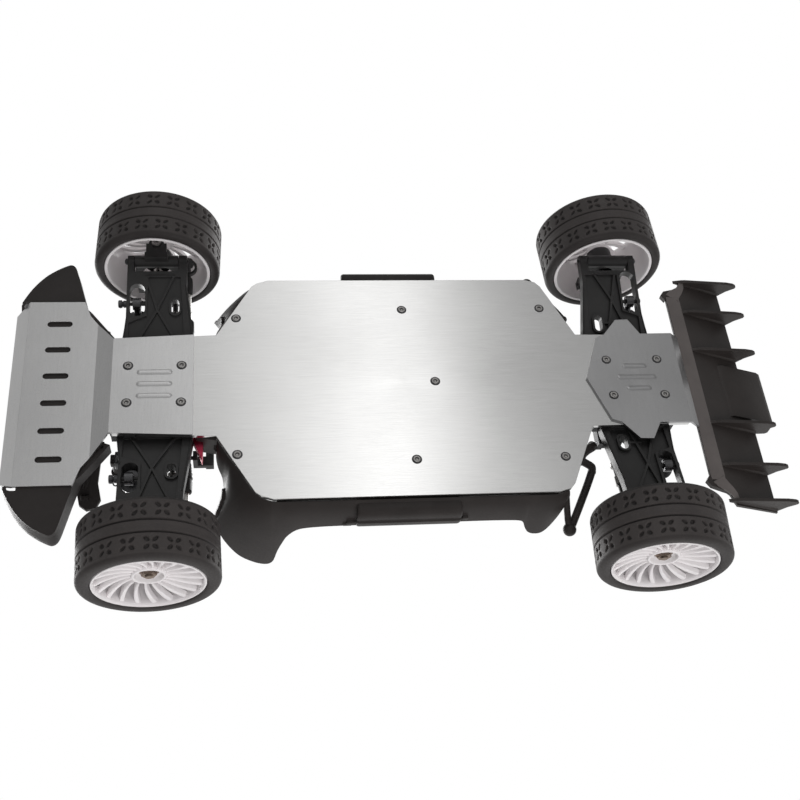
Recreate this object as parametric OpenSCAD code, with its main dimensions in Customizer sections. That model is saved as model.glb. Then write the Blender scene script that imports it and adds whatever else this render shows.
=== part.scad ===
// Radio-control drift car, roller chassis without its body shell.
// X forward, Y left, Z up. Origin under the middle of the car, tyres on z = 0.

/* [Chassis] */
// Thickness of the chassis plate
plate_t = 3; // [2:0.5:4]
// Half-width of the middle of the chassis plate
plate_hw = 99; // [92:0.5:99]
// Height of the underside of the chassis plate
ride_h = 41.5; // [41.5:0.5:42]
// Thickness of the skid plates
skid_t = 2; // [1:0.5:2]

/* [Wheels] */
// X of the front axle
front_ax = 196; // [195:1:197]
// X of the rear axle
rear_ax = -177; // [-178:1:-176]
// Radius of the tyre
tyre_r = 50; // [48:0.5:50]
// Width of the tyre
tyre_w = 45.6; // [40:0.2:46]
// Half of the track, to the middle of the tyre
half_track = 136.5; // [136:0.5:138]
// Front toe-out, degrees
front_toe = 2; // [0:0.5:3]
// Rear toe-in, degrees
rear_toe = 2.5; // [0:0.5:3]
// Number of vanes in a wheel
vanes = 18; // [8:1:20]

/* [Suspension] */
// Distance of the inner hinge pins from the middle
pin_in = 34; // [34:0.5:35]
// Distance of the outer hinge pins from the middle
pin_out = 115; // [114:0.5:115]
// Distance of the kingpin from the middle
king_y = 126; // [125:0.5:126]
// Radius of the hinge pins
pin_r = 1.5; // [1:0.1:1.5]
// Radial clearance of the running fits
fit = 0.06; // [0.02:0.01:0.1]
// Number of spring turns
turns = 7; // [5:1:9]

/* [Body posts] */
// Radius of a body post
post_r = 3; // [2:0.25:3]
// Height of the tops of the body posts
post_top = 150; // [140:1:160]

/* [Hidden] */
$fn = 48;

plate_top = ride_h + plate_t;
axle_z = 50;
low_in = 53;      // height of the lower inner hinge pin
drop = 16;        // the arms fall this much to their outer pins
up = 32;          // the upper link sits this far above the lower arm
span = pin_out - pin_in;
arm_a = atan(drop / span);
arm_l = sqrt(span * span + drop * drop);
low_out = low_in - drop;
diff_z = 64;
cup_y = 30;       // pivot of the driveshaft in its outdrive
shock_u = 15;     // shock offset from the axle, away from the middle of the car
shock_v = 45;     // shock pin along the arm
shock_top = [50, 118];
shock_low = [pin_in + shock_v * cos(arm_a), low_in - shock_v * sin(arm_a)];
shock_d = shock_low - shock_top;
shock_len = sqrt(shock_d[0] * shock_d[0] + shock_d[1] * shock_d[1]);
shock_a = atan(shock_d[0] / -shock_d[1]);
link_u = -13;     // upper link offset from the axle
rod_x = front_ax - 24;
bore_r = pin_r + fit;

// ---------- helpers ----------
module side(s) { mirror([0, s < 0 ? 1 : 0, 0]) children(); }
// local frame of an axle: u away from the middle of the car
module axle(front) { if (front) translate([front_ax, 0, 0]) children(); else translate([rear_ax, 0, 0]) mirror([1, 0, 0]) children(); }
module cx(r, l, c = true) { rotate([0, 90, 0]) cylinder(r = r, h = l, center = c); }
module cy(r, l, c = true) { rotate([-90, 0, 0]) cylinder(r = r, h = l, center = c); }
module bx(x0, x1, y0, y1, z0, z1) { translate([x0, y0, z0]) cube([x1 - x0, y1 - y0, z1 - z0]); }
module both_y() { children(); mirror([0, 1, 0]) children(); }
module armframe(v0 = 0, z = low_in) { translate([0, pin_in, z]) rotate([-arm_a, 0, 0]) children(); }
module shockframe() { translate([shock_u, shock_top[0], shock_top[1]]) rotate([shock_a, 0, 0]) children(); }
module toe_left(front) {
  x = front ? front_ax : rear_ax;
  a = front ? front_toe : -rear_toe;
  translate([x, king_y, 0]) rotate([0, 0, a]) translate([-x, -king_y, 0]) children();
}

// ---------- chassis ----------
plate_pts = [[226, 42], [149, 45.5], [121, 93], [117, 96], [108, plate_hw], [-105, plate_hw], [-113, 96.5], [-117, 92], [-139, 43], [-217, 42]];
screws = [[133.6, 61.6], [1, 69], [-113, 69.5]];
neck_f = [[175, 16.5], [215, 16.5]];
neck_r = [[-160, 16.7], [-202, 16.7]];
module half_poly(p) { polygon(concat(p, [for (i = [len(p) - 1:-1:0]) [p[i][0], -p[i][1]]])); }
module chassis_plate() color("silver") difference() {
  translate([0, 0, ride_h]) linear_extrude(plate_t) half_poly(plate_pts);
  both_y() for (q = concat(screws, neck_f, neck_r)) translate([q[0], q[1], ride_h - 1]) cylinder(r = 1.6, h = plate_t + 2);
  both_y() for (q = screws) translate([q[0], q[1], ride_h - 0.01]) cylinder(r = 3.1, h = 1.6);
  translate([-19.7, 0, ride_h - 1]) cylinder(r = 1.6, h = plate_t + 2);
  translate([-19.7, 0, ride_h - 0.01]) cylinder(r = 3.1, h = 1.6);
}
fskid = [[166, 45], [227, 42], [246, 67.5], [251, 81.4], [293, 81.4], [305, 74]];
// shallow pressed rib on the underside, with rounded ends
module pressed(x0, x1, y) intersection() {
  union() { translate([x0, y, ride_h - skid_t + 4.4]) sphere(r = 5); translate([x1, y, ride_h - skid_t + 4.4]) sphere(r = 5); translate([x0, y, ride_h - skid_t + 4.4]) cx(5, x1 - x0, false); }
  bx(x0 - 6, x1 + 6, y - 6, y + 6, ride_h - skid_t - 1, ride_h - skid_t + 0.5);
}
module front_skid_plate() color("gainsboro") difference() {
  union() { for (y = [-10.5, 0, 10.5]) pressed(184, 206, y); intersection() {
    rotate([90, 0, 0]) linear_extrude(180, center = true)
      polygon([[166, ride_h - skid_t], [227, ride_h - skid_t], [240, 45.5], [293, 45.5], [304, 55.5], [302.7, 57], [292.2, 47.5], [239.5, 47.5], [226.6, ride_h], [166, ride_h]]);
    translate([0, 0, 30]) linear_extrude(40) half_poly(fskid);
  } }
  both_y() for (q = neck_f) { translate([q[0], q[1], 30]) cylinder(r = 1.6, h = 20); translate([q[0], q[1], ride_h - skid_t - 0.01]) cylinder(r = 3.1, h = 1.2); }
  both_y() for (y = [12, 36, 60]) translate([0, y, 40]) { translate([262, 0, 0]) cylinder(r = 2.5, h = 12); translate([276, 0, 0]) cylinder(r = 2.5, h = 12); bx(262, 276, -2.5, 2.5, 0, 12); }
}
rskid = [[-141, 0.01], [-155, 38.5], [-162, 41], [-174.5, 56], [-185, 56.4], [-193, 42], [-227, 42.3]];
module rear_skid_plate() color("gainsboro") difference() {
  union() { for (y = [-10.5, 0, 10.5]) pressed(y == 0 ? -196 : -190, y == 0 ? -168 : -174, y); intersection() {
    rotate([90, 0, 0]) linear_extrude(130, center = true)
      polygon([[-141, ride_h - skid_t], [-219, ride_h - skid_t], [-227, 47], [-225.4, 48.3], [-218.2, ride_h], [-141, ride_h]]);
    translate([0, 0, 30]) linear_extrude(40) half_poly(rskid);
  } }
  both_y() for (q = neck_r) { translate([q[0], q[1], 30]) cylinder(r = 1.6, h = 20); translate([q[0], q[1], ride_h - skid_t - 0.01]) cylinder(r = 3.1, h = 1.2); }
}

// ---------- side guards ----------
// each station: x and half-width of the foot, then x, half-width and height of the rim
guard = [
  [149, 46, 149, 49, 50], [146, 51, 149, 56, 52], [141, 60, 146, 68, 66], [137, 66, 146, 80, 81],
  [132, 74, 149, 88, 85], [127, 83, 150, 93, 93], [122, 91, 142, 104, 104], [118, 95, 134, 110, 115],
  [114, 97, 123, 114, 118], [110, 98.5, 113, 116, 118], [107, 99, 108, 114, 111], [104, 99, 104, 112, 88],
  [98, 99, 98, 110, 74], [92, 99, 92, 109, 66], [66, 99, 66, 109, 64], [-40, 99, -40, 109, 64],
  [-60, 99, -60, 109, 64], [-78, 99, -78, 110, 70], [-90, 99, -90, 112, 79], [-97, 99, -98, 113, 85],
  [-102, 99, -104, 110, 80], [-108, 97, -108, 106, 62], [-112, 96, -112, 100, 50]];
gt = 2.2;
function gpts(g) = [[g[0], g[1] - 0.2, plate_top + 0.1], [g[2], g[3], g[4]], [g[2] - (g[0] > 108 ? gt * 0.7 : 0), g[3] - gt, g[4]], [g[0] - (g[0] > 108 ? gt * 0.7 : 0), g[1] - 0.2 - gt, plate_top + 0.1]];
module guard_wall() {
  n = len(guard);
  p = [for (g = guard) each gpts(g)];
  m = n * 4 - 4;
  polyhedron(p, concat([[2, 1, 0], [3, 2, 0]], [for (i = [0:n - 2]) for (k = [0:3]) each [[i * 4 + (k + 1) % 4, i * 4 + 4 + k, i * 4 + k], [i * 4 + 4 + (k + 1) % 4, i * 4 + 4 + k, i * 4 + (k + 1) % 4]]],
    [[m, m + 1, m + 2], [m, m + 2, m + 3]]));
}
module guard_half() {
  guard_wall();
  difference() {
    rotate([90, 0, 90]) translate([0, 0, -29]) linear_extrude(78) polygon([[97.3, 46], [108.3, 45.5], [112, 50], [112, 63], [108.2, 68], [105, 68]]);
    bx(-26, 46, 90, 109.4, 49, 80);
  }
  for (x = [-29, -4, 21, 46.6]) translate([x, 0, 0]) rotate([90, 0, 90]) linear_extrude(2.4) polygon([[97.6, 46.5], [109, 46.7], [110.2, 62], [106, 63.3], [99, 52]]);
  for (q = screws) if (q[0] < -50) translate([q[0], 0, 0]) difference() { bx(-5, 5, 64, 94, plate_top + 0.05, plate_top + 2.6); translate([0, q[1], 40]) cylinder(r = 1.8, h = 20); }
  bx(-107, 106.5, 92.4, 97.7, plate_top + 0.07, plate_top + 3.1);
}
module left_side_guard() color("#23252a") guard_half();
module right_side_guard() color("#23252a") mirror([0, 1, 0]) guard_half();

// ---------- front splitter tray ----------
tray = [[246, 66], [251.6, 84], [260, 116.5], [262.8, 119.6], [267, 118.8], [279, 111.5], [289.5, 100], [297, 87], [301.5, 76], [304, 60], [304, 0.01]];
tray_in = [[248.4, 66], [254, 84], [262, 115], [263.4, 117], [266.2, 116.2], [277.4, 109.4], [287.4, 98.4], [294.6, 86], [299, 75.2], [301.4, 60], [301.4, 0.01]];
function mirr(p) = concat(p, [for (i = [len(p) - 1:-1:0]) [p[i][0], -p[i][1]]]);
module front_splitter() color("#2b2d31") difference() {
  union() {
    translate([0, 0, 47.6]) linear_extrude(2.6) difference() {
      polygon(mirr(tray));
      both_y() polygon([[244, 20], [252, 24], [256, 60], [250, 66], [244, 66]]);
    }
    difference() {
      translate([0, 0, 50]) linear_extrude(13) polygon(mirr(tray));
      translate([0, 0, 49]) linear_extrude(15) polygon(mirr(tray_in));
    }
    // walls along the rear of each wing, and the upright brackets behind them
    both_y() {
      translate([0, 0, 48]) linear_extrude(12) polygon([[226, 47], [230, 46], [250, 71], [249, 76], [246, 72]]);
      translate([240, 0, 0]) rotate([90, 0, 90]) linear_extrude(2.6) polygon([[58, 49], [70, 49], [90, 72], [93, 84], [85, 84], [76, 74]]);
    }
    // foam bumper block and its stays
    bx(264, 296, -52, 52, 50.1, 72);
    both_y() bx(229, 268, 20, 28, 50.1, 56);
  }
  bx(225, 290, -90, 90, 40, 47.6);
  translate([0, 0, 40]) linear_extrude(17.4) polygon([[290.6, -82.2], [290.6, 82.2], [294, 82.2], [307, 76.4], [307, -76.4], [294, -82.2]]);
}

// ---------- rear diffuser ----------
module diff_profile(off) { polygon([[-227.5, 51 + off], [-236, 52 + off], [-284, 70.5 + off], [-284, 72.9 + off], [-236, 54.6 + off], [-227.5, 53.4 + off]]); }
module rear_diffuser() color("#33302e") union() {
  difference() {
    rotate([90, 0, 0]) linear_extrude(216, center = true) diff_profile(0);
    both_y() translate([0, 0, 40]) linear_extrude(50) polygon([[-226, 88], [-237, 90], [-246, 109], [-226, 109]]);
  }
  both_y() for (y = [35, 73.5, 105]) translate([0, y + 1.1, 0]) rotate([90, 0, 0]) linear_extrude(2.2)
    polygon([[-239, 54], [-246, 51.5], [-291, 56], [-295.6, 58], [-295, 61], [-283.9, 71.4]]);
  // raised middle block
  rotate([90, 0, 0]) linear_extrude(48, center = true) polygon([[-240, 54], [-292, 74], [-304, 78], [-304, 91], [-284, 91], [-244, 72]]);
  // stays to the gearbox
  both_y() rotate([90, 0, 0]) translate([0, 0, -26]) linear_extrude(8) polygon([[-214, 46], [-214, 54], [-232, 60], [-250, 66], [-250, 58], [-232, 53], [-226, 51]]);
}

// ---------- gearboxes ----------
module gearbox_half(front) axle(front) difference() {
  union() {
    bx(-26, 22, -22, 22, plate_top, diff_z + 20);
    translate([0, 0, diff_z]) cy(19.3, 50);
    both_y() for (u = [-34.3, 26.3]) { bx(u, u + 4, 18, pin_in + 5, plate_top, low_in + 5); }
    both_y() bx(-34.3, 30.3, 15, 22, plate_top, low_in - 1);
    // upper link brackets
    both_y() bx(link_u - 9.5, link_u - 5.5, 12, pin_in + 4, diff_z + 15, low_in + up + 4);
    both_y() bx(link_u + 5.5, link_u + 9.5, 12, pin_in + 4, diff_z + 15, low_in + up + 4);
    bx(-26, 22, -14, 14, diff_z + 18, diff_z + 25);
  }
  translate([0, 0, diff_z]) cy(16.6, 60);
  both_y() translate([0, pin_in, low_in]) cx(bore_r, 120);
  translate([-40, 0, diff_z]) cx(4.06, 60);
  both_y() translate([0, pin_in, low_in + up]) cx(1.3, 120);
}
module front_gearbox() color("#26282c") gearbox_half(true);
module rear_gearbox() color("#26282c") gearbox_half(false);

// ---------- shock towers ----------
module tower(front) axle(front) difference() {
  union() {
    translate([24, 0, 0]) rotate([90, 0, 90]) linear_extrude(4)
      polygon([[-24, plate_top + 24], [-20, 84], [-60, 108], [-62, 126], [-44, 126], [-26, 112], [26, 112], [44, 126], [62, 126], [60, 108], [20, 84], [24, plate_top + 24]]);
    bx(22.1, 28, -18, 18, plate_top + 14, 84);
    both_y() translate([17, shock_top[0], shock_top[1]]) cx(2, 16);
    both_y() translate([10.3, shock_top[0], shock_top[1]]) cx(3.4, 1.4);
  }
  both_y() translate([26, 36, 113]) cx(2.2, 10);
  both_y() translate([24, 30, 100]) bx(-4, 8, -6, 6, -4, 4);
}
module front_shock_tower() color("#1d1e20") tower(true);
module rear_shock_tower() color("#1d1e20") tower(false);

// ---------- electronics and drive ----------
module center_mount() color("#2a2c30") union() {
  // spur cover, open below and on both axle sides
  difference() {
    bx(-40, -16, -30, 30, plate_top, 94);
    bx(-36, -20, -26, 26, plate_top - 1, 91);
    translate([-28, 0, diff_z]) cx(8, 40);
    translate([-40, -29, diff_z]) cx(9, 10);
    translate([-20, -29, diff_z]) cx(9, 10);
  }
  // motor plate, with its bearing ring
  difference() {
    bx(-44, -40.1, -52, -8, plate_top, 90);
    translate([-42, -29, diff_z]) cx(9, 10);
    translate([-42, 0, diff_z]) cx(8, 10);
    for (a = [0, 120, 240]) translate([-42, -29 + 12.5 * cos(a), diff_z + 12.5 * sin(a)]) cx(1.6, 10);
  }
  for (x = [-72, 26]) difference() { bx(x - 3, x + 3, -9, 9, plate_top, 75); translate([x, 0, diff_z]) cx(4.06, 20); }
}
module motor() color("#55585e") union() {
  translate([-44.2, -29, diff_z]) rotate([0, -90, 0]) cylinder(r = 18, h = 52);
  translate([-40, -29, diff_z]) rotate([0, -90, 0]) cylinder(r = 8.4, h = 8);
  translate([-36, -29, diff_z]) rotate([0, -90, 0]) cylinder(r = 2.5, h = 6);
  translate([-96.2, -29, diff_z]) rotate([0, -90, 0]) cylinder(r = 14, h = 3);
}
module speed_controller() color("#2d2f36") union() {
  bx(34, 84, -66, -26, plate_top, 68);
  for (i = [0:6]) bx(36 + i * 7, 40 + i * 7, -64, -28, 68, 75);
  bx(52, 80, -24, 2, plate_top, 58);
  bx(-12, 24, -70, -44, plate_top, 62);
}
module battery_pack() color("#1f3c6e") union() {
  bx(-100, 38, 34, 80, plate_top, 69);
  bx(-101, 39, 31.6, 33.8, plate_top, 60);
  bx(-101, 39, 80.2, 82.4, plate_top, 60);
  for (x = [-80, 8]) bx(x, x + 10, 31.6, 82.4, 69.1, 71);
}
module steering_servo() color("#202225") union() {
  bx(96, 136, 14, 34, plate_top, 82);
  bx(90, 142, 14, 34, 70, 73);
  translate([112, 24, 82]) cylinder(r = 3, h = 4);
  translate([112, 24, 84]) { cylinder(r = 5, h = 3); bx(-3, 3, -16, 0, 0, 3); }
  // servo saver post and rack guide rails
  bx(145, 159, -20, 20, 86.4, 89.4);
  both_y() bx(145, 150, 8, 16, plate_top, 88);
}
module bar(p, q, r) {
  d = q - p; l = norm(d);
  translate(p) rotate([0, acos(d[2] / l), atan2(d[1], d[0])]) cylinder(r = r, h = l);
}
module body_stays() color("#2a2b2e") union() {
  // rear wheel hoops: two legs and an arch meeting at a ball
  both_y() {
    bar([-112, 84, 50.1], [-117.6, 117, 71.5], 2.6);
    bar([-131, 60, 71.5], [-117.6, 117, 71.5], 3);
    bar([-131, 60, 71.5], [-144, 44, 71.5], 4);
    bar([-120, 66, 50.5], [-131, 60, 71.5], 3.2);
    translate([-117.6, 117, 71.5]) sphere(r = 5.5);
    translate([-112, 84, 50]) sphere(r = 2.6);
    translate([-131, 60, 71.5]) sphere(r = 4.6);
    translate([-144, 44, 71.5]) sphere(r = 4.4);
    bx(-124, -104, 62, 88, plate_top + 2.7, plate_top + 6.4);
  }
  // posts that carry the body shell
  both_y() { translate([229.5, 28, 0]) { translate([0, 0, 104]) cylinder(r = post_r, h = post_top - 104); } bx(224.3, 232.5, 24, 32, 104.2, 110); }
  both_y() { translate([-210.5, 28, 0]) { translate([0, 0, 104]) cylinder(r = post_r, h = post_top - 104); } bx(-213.5, -205.3, 24, 32, 104.2, 110); }
}
module screw_head(x, y, z, top, h = 1.4, r = 3) { translate([x, y, z]) difference() { union() { cylinder(r = r, h = h); cylinder(r = 1.5, h = top - z); } translate([0, 0, -1]) cylinder(r = 1.15, h = 1.9, $fn = 6); } }
module fasteners() color("#9a9a96") union() {
  both_y() for (q = screws) screw_head(q[0], q[1], ride_h + 0.1, plate_top - 0.1);
  screw_head(-19.7, 0, ride_h + 0.1, plate_top - 0.1);
  both_y() for (q = concat(neck_f, neck_r)) screw_head(q[0], q[1], ride_h - skid_t + 0.1, plate_top - 0.1, h = 1);
  for (f = [true, false]) axle(f) both_y() translate([-34.6, pin_in, low_in]) cx(pin_r, 65.2, false);
  for (f = [true, false]) axle(f) both_y() translate([link_u - 9.7, pin_in, low_in + up]) cx(1.25, 19.4, false);
}

// ---------- suspension ----------
module rib(a, b, t = 1.8) { translate(a) rotate(atan2(b[1] - a[1], b[0] - a[0])) translate([0, -t / 2]) square([norm(b - a), t]); }
module slot(u, v0, v1, r) { translate([u, v0]) circle(r = r); translate([u, v1]) circle(r = r); translate([u - r, v0]) square([2 * r, v1 - v0]); }
// regions between the ribs of an arm's underside
module arm_pockets(front) difference() {
  if (front) polygon([[-22, 9], [21, 9], [21, 27], [7, 33], [6, 67], [-19, 67]]);
  else polygon([[-24, 9], [20, 9], [20, 30], [7, 35], [6, 68], [-21, 68]]);
  for (q = front ? [[-15, 70], [8, 68], [-18, 7], [16, 7]] : [[-15, 72], [5, 72], [-9, 7], [13, 7]]) rib([-1, front ? 38 : 45], q);
  slot(-15, front ? 38 : 20, front ? 44 : 27, 5);
  if (!front) rib([-1, 24], [-15, 24]);
}
module arm_shape(front) difference() {
  union() {
    translate([0, 0, -4]) linear_extrude(8) polygon([[-30, 0], [26, 0], [26, 8], [23, 30], [22.5, 86], [17.4, 86], [17.4, 72], [-17.4, 72], [-17.4, 86], [-24, 86], [-24, 60], [-30, 10]]);
    translate([-2, 0, 0]) cx(4.6, 56);
    translate([20, arm_l, 0]) cx(4.4, 5.2);
    translate([-20.7, arm_l, 0]) cx(4.4, 6.6);
  }
  cx(bore_r, 200);
  translate([0, arm_l, 0]) cx(bore_r, 200);
  // opening for the foot of the shock, and a smaller one beside the ribs
  translate([0, 0, -6]) linear_extrude(12) { slot(14.5, 39, front ? 55 : 65, 6); slot(-15, front ? 38 : 20, front ? 44 : 27, 3.2); }
  translate([0, 0, -5]) linear_extrude(front ? 2.8 : 3.4) arm_pockets(front);
  translate([0, arm_l, 0]) rotate([0, 90, 0]) translate([0, 0, -17.4]) cylinder(r = 6.4, h = 34.8);
}
module shock_pin() translate([14.5, shock_v, 0]) cx(1.5, 17);
module arm(front, s) color("#2c2e33") side(s) axle(front) armframe() { arm_shape(front); shock_pin(); }
module link(front, s) color("#3a3c42") side(s) axle(front) armframe(z = low_in + up) translate([link_u, 0, 0]) {
  difference() { cx(4.4, 10); cx(1.25 + fit, 20); }
  translate([0, 4, 0]) cy(2.2, arm_l - 8, false);
  difference() { translate([0, arm_l, 0]) cx(4.4, 8); translate([0, arm_l, 0]) cx(bore_r, 20); }
}
// pins and uprights stay upright: local u, absolute y and z
module carrier_base() {
  translate([0, pin_out, low_out]) cx(5, 34);
  translate([0, pin_out, low_out]) cx(pin_r, 50);
  difference() {
    bx(-17, 17, pin_out - 4, pin_out + 1.4, low_out, low_out + up);
    translate([0, pin_out, axle_z]) cy(12.6, 20);
    translate([link_u, pin_out, low_out + up]) cx(5.4, 9);
  }
  difference() {
    bx(-17, 17, pin_out - 4, pin_out + 4, low_out + up - 5, low_out + up + 4);
    translate([link_u, pin_out, low_out + up]) cx(5.6, 8.6);
    bx(link_u - 4.3, link_u + 4.3, pin_out - 8, pin_out, low_out + up - 5.6, low_out + up + 6);
  }
  translate([link_u, pin_out, low_out + up]) cx(pin_r, 10);
  bx(-17.2, link_u - 4.3, pin_out - 4, pin_out + 4, low_out + up - 6, low_out + up + 4);
}
module c_hub(s) color("#303238") side(s) axle(true) {
  difference() { carrier_base(); bx(-18, -12, 114.3, 118, 47, 57); }
  leg(27.5, 32.6);
  bx(-9, 9, pin_out - 3, pin_out + 3, 28, low_out);
  leg(67.4, 72.4);
  translate([0, king_y, 32]) cylinder(r = pin_r, h = 6.6);
  translate([0, king_y, 61.4]) cylinder(r = pin_r, h = 6.6);
}
module leg(z0, z1) {
  difference() {
    union() { bx(-8, 8, pin_out - 3, king_y, z0, z1); translate([0, king_y, z0]) cylinder(r = 6, h = z1 - z0); }
    translate([link_u, pin_out, low_out + up]) cx(5.4, 9);
  }
}
module knuckle(s) color("#26282c") side(s) toe_left(true) axle(true) difference() {
  union() {
    translate([0, 122, axle_z]) cy(10.4, 11, false);
    translate([0, king_y, 33]) cylinder(r = 5.6, h = 34);
    bx(-24, 0, king_y - 2.4, king_y + 2.4, 49.5, 54.5);
    translate([-24, king_y, 49.5]) cylinder(r = 4, h = 5);
    translate([-24, king_y, 50]) cylinder(r = 1.6, h = 14);
  }
  translate([0, 0, axle_z]) translate([0, 110, 0]) cy(3 + fit, 40, false);
  translate([0, king_y, 32]) cylinder(r = bore_r, h = 6.8);
  translate([0, king_y, 61.2]) cylinder(r = bore_r, h = 6.8);
}
module rear_carrier(s) color("#303238") side(s) {
  difference() {
    union() {
      axle(false) carrier_base();
      toe_left(false) axle(false) difference() {
        union() { translate([0, 112, axle_z]) cy(15.5, 8, false); translate([0, 112, axle_z]) cy(10.4, 21, false); }
        translate([0, 100, axle_z]) cy(8, 21, false);
      }
    }
    toe_left(false) axle(false) translate([0, 110, axle_z]) cy(3 + fit, 40, false);
  }
}

// ---------- wheels ----------
module wheel_pos(front, s) side(s) toe_left(front) translate([front ? front_ax : rear_ax, half_track, axle_z]) rotate([-90, 0, 0]) children();
hw = tyre_w / 2;
module tyre(front, s) color("#1c1c1e") wheel_pos(front, s) rotate_extrude($fn = 96)
  polygon([[42.3, -hw + 2], [44, -hw], [46.4, -hw], [48.6, -hw + 1.4], [tyre_r, -hw + 4.4], [tyre_r, hw - 4.4], [48.6, hw - 1.4], [46.4, hw], [42, hw], [39.7, hw - 2.5], [39.7, hw - 5.4], [42.3, hw - 7]]);
module rim(front, s) color("#f1ecec") wheel_pos(front, s) {
  rotate_extrude($fn = 96) polygon([[40, -hw + 0.6], [42.2, -hw + 0.6], [42.2, -hw + 2], [42.2, hw - 7], [39.6, hw - 5.4], [39.6, hw - 0.6], [37.6, hw - 0.6], [37.6, hw - 6], [40, hw - 9]]);
  rotate_extrude() polygon([[0, hw - 13], [6, hw - 13], [9.5, hw - 12], [12, hw - 9], [12, hw - 6.4], [9, hw - 9.6], [6, hw - 10], [0, hw - 10]]);
  translate([0, 0, -2.5]) cylinder(r = 6.4, h = hw - 9);
  translate([0, 0, -13]) cylinder(r = 3, h = 30);
  translate([0, 0, hw - 10.4]) cylinder(r = 4, h = 4);
  for (i = [0:vanes - 1]) rotate(i * 360 / vanes) translate([9, 1.4, hw - 10.6]) rotate([16, -6, -6]) translate([0, -1, 0]) cube([31, 2, 5.5]);
}

// ---------- shocks ----------
module shock_body(front, s) color("#3b3e46") side(s) axle(front) shockframe() difference() {
  union() {
    cx(5, 7);
    translate([0, 0, -12]) cylinder(r = 4, h = 10);
    translate([0, 0, -44]) cylinder(r = 5.6, h = 34);
    translate([0, 0, -16]) cylinder(r = 9, h = 3);
    translate([0, 0, -44]) cylinder(r = 6.4, h = 4);
  }
  cx(2 + fit, 20);
  translate([0, 0, -46]) cylinder(r = 1.8, h = 31);
}
module shock_rod(front, s) color("#b9bbc0") side(s) axle(front) shockframe() difference() {
  union() {
    translate([0, 0, -shock_len]) cylinder(r = 1.5, h = shock_len - 36);
    translate([0, 0, -shock_len]) { cx(4.8, 6); translate([0, 0, 0]) cylinder(r = 2.8, h = 10); translate([0, 0, 12]) cylinder(r = 8.6, h = 2.4); cylinder(r = 2.6, h = 13); }
  }
  translate([0, 0, -shock_len]) cx(2.6, 20);
}
sp_r = 7.5;
sp_w = 0.95;
sp_bot = -shock_len + 14.6 + sp_w;
sp_top = -16.2 - sp_w;
sp_n = 16;
module coil() {
  steps = turns * sp_n;
  ring = 8;
  function cpt(i, k) = let (t = i / steps, a = i * 360 / sp_n, z = sp_bot + (sp_top - sp_bot) * t, b = k * 360 / ring, r = sp_r + sp_w * cos(b)) [r * cos(a), r * sin(a), z + sp_w * sin(b)];
  p = [for (i = [0:steps]) for (k = [0:ring - 1]) cpt(i, k)];
  polyhedron(p, concat([[for (k = [0:ring - 1]) k]],
    [for (i = [0:steps - 1]) for (k = [0:ring - 1]) each [[i * ring + k, i * ring + ring + k, i * ring + ring + (k + 1) % ring], [i * ring + k, i * ring + ring + (k + 1) % ring, i * ring + (k + 1) % ring]]],
    [[for (k = [ring - 1:-1:0]) steps * ring + k]]));
}
module spring(front, s) color("#c9ccd2") side(s) axle(front) shockframe() coil();

// ---------- drive ----------
shaft_a = atan((diff_z - axle_z) / (120.5 - cup_y));
module driveshaft(front, s) color("#6d7076") side(s) axle(front) translate([0, cup_y, diff_z]) rotate([-shaft_a, 0, 0]) {
  sphere(r = 4);
  cy(2.4, 89, false);
  translate([0, 80, 0]) cy(3.6, 8, false);
}
module driveline() color("#8a8d92") union() {
  translate([0, 0, diff_z]) {
    translate([rear_ax + 26.6, 0, 0]) cx(4, front_ax - rear_ax - 53.2, false);
    difference() { translate([-28, 0, 0]) cx(18.6, 8); translate([-28, 0, 0]) for (a = [0:60:300]) rotate([a, 0, 0]) translate([0, 13, 0]) cx(4, 20); }
    translate([-28, 0, 0]) cx(7, 15);
  }
}

// ---------- steering ----------
tr_in = [king_y - span, 59 + drop];
module steering_rack() color("#b8bbc0") union() {
  difference() { bx(152, 158, -49, 49, 80, 86); for (y = [-36:12:36]) translate([155, y, 78]) cylinder(r = 1.6, h = 10); }
  both_y() { bx(157, rod_x - 4.6, 41, 49, 80, 84); bx(rod_x - 8, rod_x - 4.6, 41, 49, 71, 84); translate([rod_x - 7, tr_in[0], tr_in[1]]) cx(pin_r, 11, false); }
}
module tie_rod(s) color("#b8bbc0") side(s) translate([rod_x, tr_in[0], tr_in[1]]) rotate([-arm_a, 0, 0]) {
  difference() { cx(4, 5.4); cx(bore_r, 20); }
  translate([0, 3.4, 0]) cy(1.8, arm_l - 9.6, false);
  difference() { translate([0, arm_l, -2]) cylinder(r = 6.8, h = 4); translate([0, arm_l, -4]) cylinder(r = 4.9, h = 8); }
}

chassis_plate();
front_skid_plate();
rear_skid_plate();
left_side_guard();
right_side_guard();
front_splitter();
rear_diffuser();
front_gearbox();
rear_gearbox();
front_shock_tower();
rear_shock_tower();
center_mount();
motor();
speed_controller();
battery_pack();
steering_servo();
body_stays();
fasteners();
arm(true, 1);  // front_left_arm
arm(true, -1);  // front_right_arm
arm(false, 1);  // rear_left_arm
arm(false, -1);  // rear_right_arm
link(true, 1);  // front_left_link
link(true, -1);  // front_right_link
link(false, 1);  // rear_left_link
link(false, -1);  // rear_right_link
c_hub(1);  // front_left_hub_carrier
c_hub(-1);  // front_right_hub_carrier
rear_carrier(1);  // rear_left_hub_carrier
rear_carrier(-1);  // rear_right_hub_carrier
knuckle(1);  // left_knuckle
knuckle(-1);  // right_knuckle
tyre(true, 1);  // front_left_tyre
tyre(true, -1);  // front_right_tyre
tyre(false, 1);  // rear_left_tyre
tyre(false, -1);  // rear_right_tyre
rim(true, 1);  // front_left_rim
rim(true, -1);  // front_right_rim
rim(false, 1);  // rear_left_rim
rim(false, -1);  // rear_right_rim
shock_body(true, 1);  // front_left_shock_body
shock_body(true, -1);  // front_right_shock_body
shock_body(false, 1);  // rear_left_shock_body
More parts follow.
